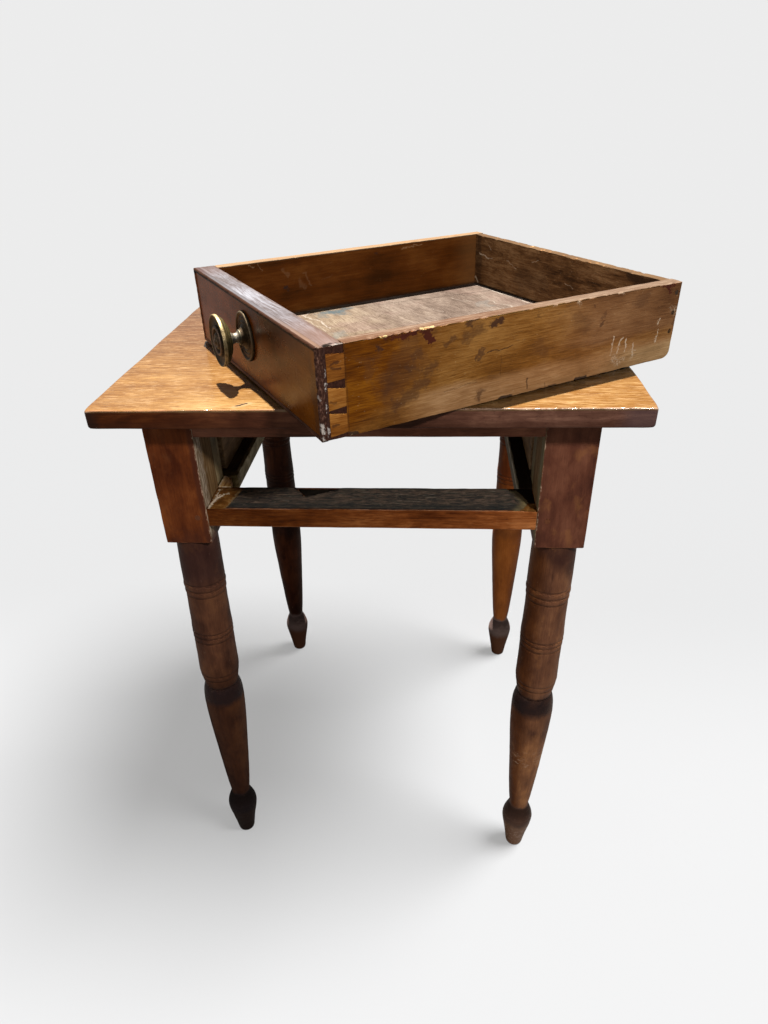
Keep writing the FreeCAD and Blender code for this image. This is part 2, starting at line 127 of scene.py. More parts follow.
def block_mesh(lo, hi, r, cell, radius=None, push=None):
    """A box whose edges are worn round: radius(p) gives the local rounding, push(p, n) moves the skin."""
    lo, hi = Vector(lo), Vector(hi)
    if not isinstance(cell, (tuple, list)):
        cell = (cell,) * 3
    g = [stations(lo[i], hi[i], min(r, (hi[i] - lo[i]) * 0.3), cell[i]) for i in range(3)]
    n = [len(s) for s in g]
    index, verts = {}, []

    def vert(i, j, k):
        key = (i, j, k)
        if key not in index:
            p = Vector((g[0][i], g[1][j], g[2][k]))
            rr = min(radius(p) if radius else r * 0.8, r)
            q = Vector([min(max(p[a], lo[a] + min(rr, (hi[a] - lo[a]) * 0.49)), hi[a] - min(rr, (hi[a] - lo[a]) * 0.49)) for a in range(3)])
            d = p - q
            nn = d.normalized() if d.length > 1e-9 else Vector((0, 0, 0))
            if d.length > 1e-9:
                m = max(abs(c) for c in d)
                p = q + nn * m
            if push:
                p = p + push(p, nn)
            index[key] = len(verts)
            verts.append(p)
        return index[key]

    faces = []
    for axis in range(3):
        a, b = (axis + 1) % 3, (axis + 2) % 3
        for side in (0, n[axis] - 1):
            for i in range(n[a] - 1):
                for j in range(n[b] - 1):
                    def at(ii, jj):
                        key = [0, 0, 0]
                        key[axis], key[a], key[b] = side, ii, jj
                        return vert(*key)
                    q = (at(i, j), at(i + 1, j), at(i + 1, j + 1), at(i, j + 1))
                    faces.append(q if side else q[::-1])
    return verts, faces


def join(*meshes):
    verts, faces = [], []
    for v, f in meshes:
        n = len(verts)
        verts += v
        faces += [tuple(i + n for i in q) for q in f]
    return verts, faces


def hexa(corners, bevel=0.35):
    """A six-sided block from eight corners (four below, four above), edges eased."""
    bm = bmesh.new()
    vs = [bm.verts.new(c) for c in corners]
    for q in ((0, 3, 2, 1), (4, 5, 6, 7), (0, 1, 5, 4), (1, 2, 6, 5), (2, 3, 7, 6), (3, 0, 4, 7)):
        bm.faces.new([vs[i] for i in q])
    if bevel:
        bmesh.ops.bevel(bm, geom=list(bm.edges), offset=bevel, segments=2, profile=0.5, affect="EDGES")
    bm.verts.ensure_lookup_table()
    verts = [v.co.copy() for v in bm.verts]
    faces = [tuple(v.index for v in f.verts) for f in bm.faces]
    bm.free()
    return verts, faces


def curve_through(points, step):
    """Catmull-Rom through (z, r) points, sampled about every step."""
    out = []
    for i in range(len(points) - 1):
        p1, p2 = points[i], points[i + 1]
        p0 = points[i - 1] if i else (2 * p1[0] - p2[0], 2 * p1[1] - p2[1])
        p3 = points[i + 2] if i + 2 < len(points) else (2 * p2[0] - p1[0], 2 * p2[1] - p1[1])
        n = max(1, int(round(math.hypot(p2[0] - p1[0], p2[1] - p1[1]) / step)))
        for k in range(n):
            t = k / n
            c = []
            for a in (0, 1):
                m1, m2 = (p2[a] - p0[a]) / 2, (p3[a] - p1[a]) / 2
                t2, t3 = t * t, t * t * t
                c.append((2 * t3 - 3 * t2 + 1) * p1[a] + (t3 - 2 * t2 + t) * m1 + (-2 * t3 + 3 * t2) * p2[a] + (t3 - t2) * m2)
            out.append(tuple(c))
    out.append(tuple(points[-1]))
    return out


def lathe(profile, segs, vary=None, close=(True, True)):
    """Turns (height, radius) points about Z."""
    verts, faces, rings = [], [], []
    for k, (z, r) in enumerate(profile):
        ring = []
        if r < 1e-4:
            ring = [len(verts)] * segs
            verts.append(Vector((0, 0, z)))
        else:
            for i in range(segs):
                a = 2 * math.pi * i / segs
                rr, zz = vary(z, r, a) if vary else (r, z)
                ring.append(len(verts))
                verts.append(Vector((rr * math.cos(a), rr * math.sin(a), zz)))
        rings.append(ring)
    for k in range(len(rings) - 1):
        a, b = rings[k], rings[k + 1]
        for i in range(segs):
            j = (i + 1) % segs
            q = [a[i], a[j], b[j], b[i]]
            u = []
            for x in q:
                if x not in u:
                    u.append(x)
            if len(u) > 2:
                faces.append(tuple(u))
    for end, ring in ((0, rings[0]), (1, rings[-1])):
        if close[end] and len(set(ring)) > 2:
            c = len(verts)
            verts.append(sum((verts[i] for i in ring), Vector()) / segs)
            for i in range(segs):
                j = (i + 1) % segs
                faces.append((ring[i], ring[j], c) if end else (ring[j], ring[i], c))
    return verts, faces


# ==========================================================================================
# material tools
# ==========================================================================================
class Mat:
    def __init__(self, name):
        self.m = bpy.data.materials.new(name)
        self.m.use_nodes = True
        self.nt = self.m.node_tree
        self.nt.nodes.clear()
        out = self.nt.nodes.new("ShaderNodeOutputMaterial")
        self.bsdf = self.nt.nodes.new("ShaderNodeBsdfPrincipled")
        self.nt.links.new(self.bsdf.outputs[0], out.inputs[0])
        self._obj = None
        self._frames = {}

    def node(self, kind, **props):
        n = self.nt.nodes.new(kind)
        for k, v in props.items():
            setattr(n, k, v)
        return n

    def put(self, value, sock):
        if hasattr(value, "is_output"):
            self.nt.links.new(value, sock)
        elif sock.type == "RGBA" and isinstance(value, (tuple, list)):
            sock.default_value = (*value[:3], 1.0)
        else:
            sock.default_value = value

    def obj(self):
        if self._obj is None:
            self._obj = self.node("ShaderNodeTexCoord").outputs["Object"]
        return self._obj

    def frame(self, which):
        """Object coordinates in millimetres, in the table's or the drawer's own axes."""
        if which not in self._frames:
            n = self.node("ShaderNodeMapping", vector_type="TEXTURE")
            self.put(self.obj(), n.inputs["Vector"])
            n.inputs["Scale"].default_value = (0.001,) * 3
            if which == "drawer":
                n.inputs["Location"].default_value = tuple(DA * 0.001)
                n.inputs["Rotation"].default_value = (0, 0, PHI)
            elif isinstance(which, tuple):
                n.inputs["Location"].default_value = tuple(c * 0.001 for c in which)
            out = n.outputs[0]
            if which == "drawer":
                # the drawer's warp taken out again, so that marks keep to the arrises
                u, v, w = self.xyz(out)
                k = self.f("MULTIPLY_ADD", u, -0.00014782, self.f("MULTIPLY_ADD", v, -0.00006648, 1.025478))
                w = self.f("DIVIDE", w, k)
                a = self.f("MULTIPLY_ADD", u, -0.0029011, 0.5)
                b = self.f("MULTIPLY", v, 0.0026096)
                low = self.f("MULTIPLY_ADD", self.f("MULTIPLY", a, b), -4.0, self.f("MULTIPLY_ADD", b, 3.0, a))
                rest = self.f("POWER", self.f("MULTIPLY_ADD", w, -0.012739, 1.0, clamp=True), 3.0)
                out = self.vec(u, v, self.f("SUBTRACT", w, self.f("MULTIPLY", low, rest)))
            self._frames[which] = out
        return self._frames[which]

    def xyz(self, v):
        n = self.node("ShaderNodeSeparateXYZ")
        self.put(v, n.inputs[0])
        return n.outputs[0], n.outputs[1], n.outputs[2]

    def vec(self, x, y, z):
        n = self.node("ShaderNodeCombineXYZ")
        for i, c in enumerate((x, y, z)):
            self.put(c, n.inputs[i])
        return n.outputs[0]

    def scale(self, v, s):
        n = self.node("ShaderNodeVectorMath", operation="MULTIPLY")
        self.put(v, n.inputs[0])
        n.inputs[1].default_value = s if isinstance(s, (tuple, list)) else (s, s, s)
        return n.outputs[0]

    def shift(self, v, s):
        n = self.node("ShaderNodeVectorMath", operation="ADD")
        self.put(v, n.inputs[0])
        if hasattr(s, "is_output"):
            self.put(s, n.inputs[1])
        else:
            n.inputs[1].default_value = s
        return n.outputs[0]

    def f(self, op, a, b=0.0, c=None, clamp=False):
        n = self.node("ShaderNodeMath", operation=op, use_clamp=clamp)
        self.put(a, n.inputs[0])
        self.put(b, n.inputs[1])
        if c is not None:
            self.put(c, n.inputs[2])
        return n.outputs[0]

    def noise(self, v, scale=1.0, detail=3.0, rough=0.55, dist=0.0):
        n = self.node("ShaderNodeTexNoise", noise_dimensions="3D")
        self.put(v, n.inputs["Vector"])
        n.inputs["Scale"].default_value = scale
        n.inputs["Detail"].default_value = detail
        n.inputs["Roughness"].default_value = rough
        n.inputs["Distortion"].default_value = dist
        return n.outputs["Fac"]

    def cells(self, v, scale=1.0, feature="F1", rand=1.0):
        n = self.node("ShaderNodeTexVoronoi", feature=feature)
        self.put(v, n.inputs["Vector"])
        n.inputs["Scale"].default_value = scale
        n.inputs["Randomness"].default_value = rand
        return n.outputs["Distance"]

    def rng(self, v, a, b, c=0.0, d=1.0, smooth=True):
        """v from a..b to c..d, clamped."""
        n = self.node("ShaderNodeMapRange", interpolation_type="SMOOTHSTEP" if smooth else "LINEAR", clamp=True)
        self.put(v, n.inputs["Value"])
        for k, x in (("From Min", a), ("From Max", b), ("To Min", c), ("To Max", d)):
            self.put(x, n.inputs[k])
        return n.outputs[0]

    def mix(self, fac, a, b, mode="MIX"):
        n = self.node("ShaderNodeMix", data_type="RGBA", blend_type=mode, clamp_factor=True)
        self.put(fac, n.inputs[0])
        self.put(a, n.inputs[6])
        self.put(b, n.inputs[7])
        return n.outputs[2]

    def lerp(self, fac, a, b):
        n = self.node("ShaderNodeMix", data_type="FLOAT", clamp_factor=True)
        self.put(fac, n.inputs[0])
        self.put(a, n.inputs[2])
        self.put(b, n.inputs[3])
        return n.outputs[0]

    def ramp(self, fac, stops):
        n = self.node("ShaderNodeValToRGB")
        self.put(fac, n.inputs[0])
        e = n.color_ramp.elements
        while len(e) > 1:
            e.remove(e[-1])
        e[0].position, e[0].color = stops[0][0], (*stops[0][1], 1)
        for p, c in stops[1:]:
            x = e.new(p)
            x.color = (*c, 1)
        return n.outputs[0]

    def blob(self, a, b, ca, cb, ra, rb, soft=0.6, warp=None, amount=0.5):
        """1 inside an ellipse on the (a, b) plane, 0 outside, with an edge that the warp makes ragged."""
        x = self.f("DIVIDE", self.f("SUBTRACT", a, ca), ra)
        y = self.f("DIVIDE", self.f("SUBTRACT", b, cb), rb)
        d = self.f("SQRT", self.f("ADD", self.f("MULTIPLY", x, x), self.f("MULTIPLY", y, y)))
        if warp is not None:
            d = self.f("ADD", d, self.f("MULTIPLY", self.f("SUBTRACT", warp, 0.5), amount))
        return self.rng(d, 1.0 + soft * 0.5, 1.0 - soft * 0.5)

    def plane(self, a, b, amount=0.0, scale=0.08):
        """(a, b) as a flat vector, bent by noise so that what is painted on it gets ragged outlines."""
        if not amount:
            return self.vec(a, b, 0.0)
        n = self.node("ShaderNodeTexNoise", noise_dimensions="3D")
        self.put(self.vec(a, b, 0.0), n.inputs["Vector"])
        n.inputs["Scale"].default_value = scale
        n.inputs["Detail"].default_value = 4.0
        n.inputs["Roughness"].default_value = 0.65
        s = self.node("ShaderNodeSeparateColor")
        self.put(n.outputs["Color"], s.inputs[0])
        x = self.f("MULTIPLY_ADD", s.outputs[0], 5 * amount, a)
        y = self.f("MULTIPLY_ADD", s.outputs[1], 5 * amount, b)
        return self.shift(self.vec(x, y, 0.0), (-2.5 * amount, -2.5 * amount, 0.0))

    def capsule(self, q, a, b, r, soft):
        """1 within r of the line from a to b on the plane q."""
        n = self.node("ShaderNodeVectorMath", operation="SUBTRACT")
        self.put(q, n.inputs[0])
        n.inputs[1].default_value = (a[0], a[1], 0.0)
        ba = (b[0] - a[0], b[1] - a[1], 0.0)
        L2 = max(ba[0] ** 2 + ba[1] ** 2, 1e-6)
        d = self.node("ShaderNodeVectorMath", operation="DOT_PRODUCT")
        self.put(n.outputs[0], d.inputs[0])
        d.inputs[1].default_value = (ba[0] / L2, ba[1] / L2, 0.0)
        t = self.f("ADD", d.outputs["Value"], 0.0, clamp=True)
        k = self.node("ShaderNodeVectorMath", operation="SCALE")
        k.inputs[0].default_value = ba
        self.put(t, k.inputs["Scale"])
        e = self.node("ShaderNodeVectorMath", operation="DISTANCE")
        self.put(n.outputs[0], e.inputs[0])
        self.put(k.outputs[0], e.inputs[1])
        return self.rng(e.outputs["Value"], r * (1 + soft * 0.5), r * max(0.0, 1 - soft * 0.5))

    def marks(self, q, rows, soft=0.8):
        """Strokes (ax, ay, bx, by, radius, strength) painted together on the plane q."""
        out = None
        for r in rows:
            k = self.f("MULTIPLY", self.capsule(q, r[0:2], r[2:4], r[4], soft), r[5])
            out = k if out is None else self.f("MAXIMUM", out, k)
        return out

    def times(self, c, k):
        """c darkened or lightened evenly."""
        return self.mix(1.0, c, tuple(k) if isinstance(k, (tuple, list)) else (k, k, k), "MULTIPLY")

    def any_of(self, *masks):
        out = masks[0]
        for m in masks[1:]:
            out = self.f("MAXIMUM", out, m)
        return out

    def edge_of_box(self, p, lo, hi):
        """Distance in mm from a point on a box's skin to the box's nearest edge."""
        x, y, z = self.xyz(p)
        d = []
        for c, a, b in ((x, lo[0], hi[0]), (y, lo[1], hi[1]), (z, lo[2], hi[2])):
            d.append(self.f("MINIMUM", self.f("SUBTRACT", c, a), self.f("SUBTRACT", b, c)))
        low = self.f("MINIMUM", self.f("MINIMUM", d[0], d[1]), d[2])
        top = self.f("MAXIMUM", self.f("MAXIMUM", d[0], d[1]), d[2])
        s = self.f("ADD", self.f("ADD", d[0], d[1]), d[2])
        return self.f("SUBTRACT", self.f("SUBTRACT", s, low), top)

    def facing(self, axis, frame="table"):
        """1 where the face looks along +axis, -1 against it."""
        n = self.node("ShaderNodeNewGeometry")
        nrm = self.node("ShaderNodeVectorTransform", vector_type="NORMAL", convert_from="WORLD", convert_to="OBJECT")
        self.put(n.outputs["True Normal"], nrm.inputs[0])
        d = self.node("ShaderNodeVectorMath", operation="DOT_PRODUCT")
        self.put(nrm.outputs[0], d.inputs[0])
        d.inputs[1].default_value = axis
        return d.outputs["Value"]

    def grain(self, p, along="x", bend=1.0, seed=0.0):
        """Wood fibre fields on a millimetre frame: broad figure, streaks, fibres and pores."""
        x, y, z = self.xyz(p)
        order = {"x": (x, y, z), "y": (y, x, z), "z": (z, x, y)}[along]
        q = self.vec(*order)
        q = self.shift(q, (seed * 37.0, seed * 11.0, seed * 5.0))
        wob = self.noise(self.scale(q, (0.006, 0.02, 0.02)), 1.0, 2.0, 0.5)
        wobv = self.vec(0.0, self.f("MULTIPLY", self.f("SUBTRACT", wob, 0.5), 26.0 * bend), self.f("MULTIPLY", self.f("SUBTRACT", wob, 0.5), 17.0 * bend))
        w = self.shift(q, wobv)
        return {
            "q": q,
            "w": w,
            "figure": self.noise(self.scale(w, (0.0035, 0.045, 0.045)), 1.0, 3.0, 0.5, 0.3),
            "streak": self.noise(self.scale(w, (0.010, 0.34, 0.34)), 1.0, 4.0, 0.6),
            "fibre": self.noise(self.scale(w, (0.05, 1.5, 1.5)), 1.0, 3.0, 0.6),
            "pore": self.rng(self.noise(self.scale(w, (0.10, 2.6, 2.6)), 1.0, 1.0, 0.5), 0.60, 0.70),
            "dash": self.noise(self.scale(w, (0.045, 0.62, 0.62)), 1.0, 3.0, 0.65),
            "mottle": self.noise(self.scale(q, (0.035, 0.075, 0.075)), 1.0, 4.0, 0.62, 0.4),
            "blotch": self.noise(self.scale(q, (0.011, 0.017, 0.017)), 1.0, 3.0, 0.6),
            "line": self.noise(self.scale(w, (0.007, 0.50, 0.50)), 1.0, 3.0, 0.65),
        }

    def finish(self, color, rough, height=None, strength=0.5, distance=0.0003, metallic=0.0, spec=0.5, coat=0.0, coat_rough=0.2, normal=None, tint=(1, 1, 1)):
        b = self.bsdf
        b.inputs["Specular Tint"].default_value = (*tint, 1.0)
        self.put(color, b.inputs["Base Color"])
        self.put(rough, b.inputs["Roughness"])
        b.inputs["Metallic"].default_value = metallic
        self.put(spec, b.inputs["Specular IOR Level"])
        b.inputs["Coat Weight"].default_value = coat
        b.inputs["Coat Roughness"].default_value = coat_rough
        if height is not None:
            n = self.node("ShaderNodeBump")
            n.inputs["Strength"].default_value = strength
            n.inputs["Distance"].default_value = distance
            self.put(height, n.inputs["Height"])
            if normal is not None:
                self.put(normal, n.inputs["Normal"])
            self.put(n.outputs[0], b.inputs["Normal"])
        elif normal is not None:
            self.put(normal, b.inputs["Normal"])
        return self.m


def shade(m, g, dark, mid, light, fig=0.5, streak=0.35, fibre=0.2, blotch=0.3, pore=0.5, dash=0.0, mottle=0.0, line=0.0):
    """Mixes a wood colour from the grain fields."""
    t = 0.5
    for key, amount in (("figure", fig), ("streak", streak), ("fibre", fibre), ("blotch", blotch), ("dash", dash), ("mottle", mottle), ("line", line)):
        if amount:
            t = m.f("MULTIPLY_ADD", m.f("SUBTRACT", g[key], 0.5), amount * 2, t)
    t = m.f("ADD", t, 0.0, clamp=True)
    c = m.ramp(t, [(0.14, dark), (0.5, mid), (0.86, light)])
    if pore:
        c = m.mix(m.f("MULTIPLY", g["pore"], pore), c, tuple(x * 0.45 for x in dark))
    return c, t


WARM = (1.0, 0.62, 0.36)


def wood_height(m, g, pore=0.7):
    return m.f("SUBTRACT", m.f("ADD", g["fibre"], m.f("MULTIPLY", g["streak"], 0.6)), m.f("MULTIPLY", g["pore"], pore))


def plain_wood(name, frame_, along, dark, mid, light, rough=(0.42, 0.6), coat=0.0, seed=0.0, dust=0.0, strength=0.5, spec=0.25, box=None, edge=(0.3, 0.2, 0.12), edge_amount=0.0, **k):
    m = Mat(name)
    p = m.frame(frame_)
    g = m.grain(p, along, seed=seed)
    c, t = shade(m, g, dark, mid, light, **k)
    if box:
        e = m.edge_of_box(p, *box)
        rub = m.f("MULTIPLY", m.rng(e, 2.6, 0.5), m.rng(m.noise(m.scale(p, 0.11), 1.0, 4.0, 0.7), 0.36, 0.60))
        c = m.mix(m.f("MULTIPLY", rub, edge_amount), c, edge)
    if dust:
        d = m.noise(m.scale(p, 0.05), 1.0, 5.0, 0.65)
        c = m.mix(m.f("MULTIPLY", m.rng(d, 0.45, 0.75), dust), c, (0.32, 0.27, 0.21))
    r = m.lerp(m.noise(m.scale(p, 0.08), 1.0, 3.0), rough[0], rough[1])
    m.finish(c, r, wood_height(m, g), strength=strength, coat=coat, spec=spec, tint=WARM)
    return m.m


# ==========================================================================================
# materials
# ==========================================================================================
def mat_top():
    m = Mat("top_wood")
    p = m.frame("table")
    x, y, z = m.xyz(p)
    g = m.grain(p, "x", bend=0.8, seed=1.0)
    # short fine dashes more than long streaks
    tick = m.noise(m.scale(g["w"], (0.085, 0.62, 0.62)), 1.0, 5.0, 0.72)
    glint = m.noise(m.shift(m.scale(g["w"], (0.055, 0.34, 0.34)), (7.0, 3.0, 0.0)), 1.0, 5.0, 0.75)
    haze = m.noise(m.scale(p, (0.016, 0.030, 0.03)), 1.0, 4.0, 0.62)
    c, t = shade(m, g, (0.066, 0.0225, 0.0050), (0.142, 0.0690, 0.0195), (0.240, 0.142, 0.052), fig=0.22, streak=0.16, fibre=0.34, blotch=0.24, dash=0.40, pore=0.30)
    c = m.mix(m.f("MULTIPLY", m.rng(haze, 0.50, 0.66), 0.26), c, (0.215, 0.132, 0.058))
    # browner and pinker towards the back left; lighter and golden by the knob, a painted highlight where the polish
    # shines; more orange to the right
    far = m.f("MULTIPLY", m.rng(y, -205.0, 10.0), m.rng(x, -60.0, -190.0, 0.35, 1.0))
    c = m.mix(m.f("MULTIPLY", far, 0.80), c, m.ramp(t, [(0.15, (0.034, 0.0115, 0.0038)), (0.5, (0.072, 0.0280, 0.0105)), (0.85, (0.130, 0.062, 0.029))]))
    gold = m.f("MULTIPLY", m.rng(y, -205.0, -250.0), m.f("MULTIPLY", m.rng(x, -205.0, -150.0), m.rng(x, -20.0, -70.0)))
    c = m.mix(m.f("MULTIPLY", gold, 0.65), c, m.ramp(t, [(0.15, (0.100, 0.046, 0.013)), (0.5, (0.205, 0.120, 0.044)), (0.85, (0.30, 0.205, 0.100))]))
    c = m.mix(m.f("MULTIPLY", m.rng(x, 40.0, 190.0), 0.8), c, m.ramp(t, [(0.2, (0.066, 0.0210, 0.0030)), (0.5, (0.130, 0.064, 0.0190)), (0.78, (0.225, 0.150, 0.072))]))
    c = m.mix(m.f("MULTIPLY", m.rng(tick, 0.51, 0.60), 0.62), c, m.times(c, (0.52, 0.42, 0.33)))
    c = m.mix(m.f("MULTIPLY", m.rng(glint, 0.52, 0.62), 0.50), c, m.mix(0.5, c, (0.36, 0.255, 0.150)))
    # two dark lines of grain, and a small bruise near the front edge
    q = m.plane(x, y, 2.4, 0.02)
    lines = m.marks(q, [(-262, -32, -196, -28, 0.7, 0.55), (-262, -150, -168, -146, 0.6, 0.40), (-262, -206, -236, -205, 0.6, 0.35)], soft=1.2)
    c = m.mix(lines, c, (0.040, 0.013, 0.004))
    q2 = m.plane(x, y, 1.1, 0.3)
    nick = m.marks(q2, [(-116.5, -261.0, -109.0, -255.5, 1.3, 1.0)], soft=0.5)
    halo = m.marks(q2, [(-118.0, -263.5, -106.0, -255.0, 3.2, 0.55)], soft=1.2)
    c = m.mix(halo, c, (0.25, 0.175, 0.100))
    c = m.mix(nick, c, (0.022, 0.016, 0.015))
    c = m.times(c, 0.46)
    # the edge all round: old polish, reddish and dark to the left, lighter and greyer to the right, where a painted
    # sheen lies on it
    side = m.rng(z, 698.4, 697.2)
    kw = dict(fig=0.35, streak=0.25, fibre=0.2, blotch=0.7, dash=0.15, mottle=0.45, pore=0.2)
    n_ = m.f("SUBTRACT", m.noise(m.scale(p, 0.05), 1.0, 3.0, 0.6), 0.5)
    left, _ = shade(m, g, (0.014, 0.0035, 0.001), (0.043, 0.0098, 0.0022), (0.092, 0.026, 0.006), **kw)
    right, _ = shade(m, g, (0.044, 0.017, 0.011), (0.102, 0.048, 0.034), (0.185, 0.100, 0.070), **kw)
    edge_c = m.mix(m.rng(x, -200.0, 240.0, smooth=False), left, right)
    pit = m.rng(m.noise(m.scale(p, (0.35, 0.6, 0.6)), 1.0, 4.0, 0.75), 0.58, 0.66)
    edge_c = m.mix(m.f("MULTIPLY", m.f("MULTIPLY", pit, m.rng(x, 0.0, 120.0)), 0.6), edge_c, (0.022, 0.010, 0.008))
    edge_c = m.mix(m.f("MULTIPLY", m.rng(z, 691.0, 682.5), 0.50), edge_c, (0.026, 0.008, 0.004))
    edge_c = m.mix(m.f("MULTIPLY", m.rng(x, -246.0, -258.0), 0.7), edge_c, (0.012, 0.006, 0.005))
    edge_c = m.mix(m.f("MULTIPLY", m.rng(m.f("MULTIPLY_ADD", n_, 30.0, x), 226.0, 246.0), 0.55), edge_c, (0.045, 0.030, 0.036))
    c = m.mix(side, c, edge_c)
    # the upper arris is rubbed pale, most of all along the front
    e = m.edge_of_box(p, (-262.6, -271.0, 681.0), (262.6, 271.0, 700.0))
    n = m.noise(m.scale(p, 0.07), 1.0, 5.0, 0.7)
    on = m.f("MULTIPLY", m.rng(e, 2.0, 0.9), m.rng(z, 693.0, 698.6))
    front = m.rng(y, -266.0, -269.5)
    c = m.mix(m.f("MULTIPLY", m.f("MULTIPLY", on, m.rng(n, 0.34, 0.56)), m.f("MULTIPLY", front, 0.85)), c,
              m.mix(m.rng(x, 40.0, 160.0), (0.105, 0.050, 0.026), (0.135, 0.097, 0.076)))
    c = m.mix(m.f("MULTIPLY", m.f("MULTIPLY", on, m.rng(n, 0.40, 0.62)), m.f("MULTIPLY", m.f("SUBTRACT", 1.0, front), 0.75)), c, (0.065, 0.025, 0.008))
    r = m.lerp(m.noise(m.scale(p, (0.02, 0.05, 0.05)), 1.0, 4.0, 0.6), 0.09, 0.20)
    r = m.lerp(side, r, 0.36)
    h = m.f("SUBTRACT", m.f("ADD", m.f("MULTIPLY", g["fibre"], 0.5), m.f("MULTIPLY", g["streak"], 0.5)), m.f("MULTIPLY", g["pore"], 0.5))
    h = m.f("SUBTRACT", h, m.f("MULTIPLY", nick, 2.0))
    return m.finish(c, r, h, strength=0.22, distance=0.0003, spec=m.lerp(side, 0.5, 0.10), tint=(1.0, 0.9, 0.8))


# colours of each leg's square and turning; the back left leg's are painted near black as shade
BLOCKS = {
    "front_left": ((0.044, 0.0095, 0.0035), (0.098, 0.0245, 0.0068), (0.165, 0.048, 0.013)),
    "front_right": ((0.036, 0.0115, 0.0085), (0.082, 0.0275, 0.0165), (0.132, 0.050, 0.029)),
    "back_left": ((0.016, 0.005, 0.003), (0.040, 0.012, 0.005), (0.075, 0.025, 0.010)),
    "back_right": ((0.055, 0.014, 0.004), (0.13, 0.040, 0.011), (0.22, 0.080, 0.022)),
}
TURNED = {
    "front_left": ((0.030, 0.0115, 0.0080), (0.082, 0.0330, 0.0180), (0.150, 0.065, 0.029)),
    "front_right": ((0.036, 0.0125, 0.0065), (0.108, 0.041, 0.0165), (0.215, 0.090, 0.032)),
    "back_left": ((0.005, 0.0015, 0.001), (0.0145, 0.0037, 0.0020), (0.044, 0.0125, 0.0050)),
    "back_right": ((0.092, 0.024, 0.0045), (0.215, 0.064, 0.0120), (0.32, 0.112, 0.025)),
}


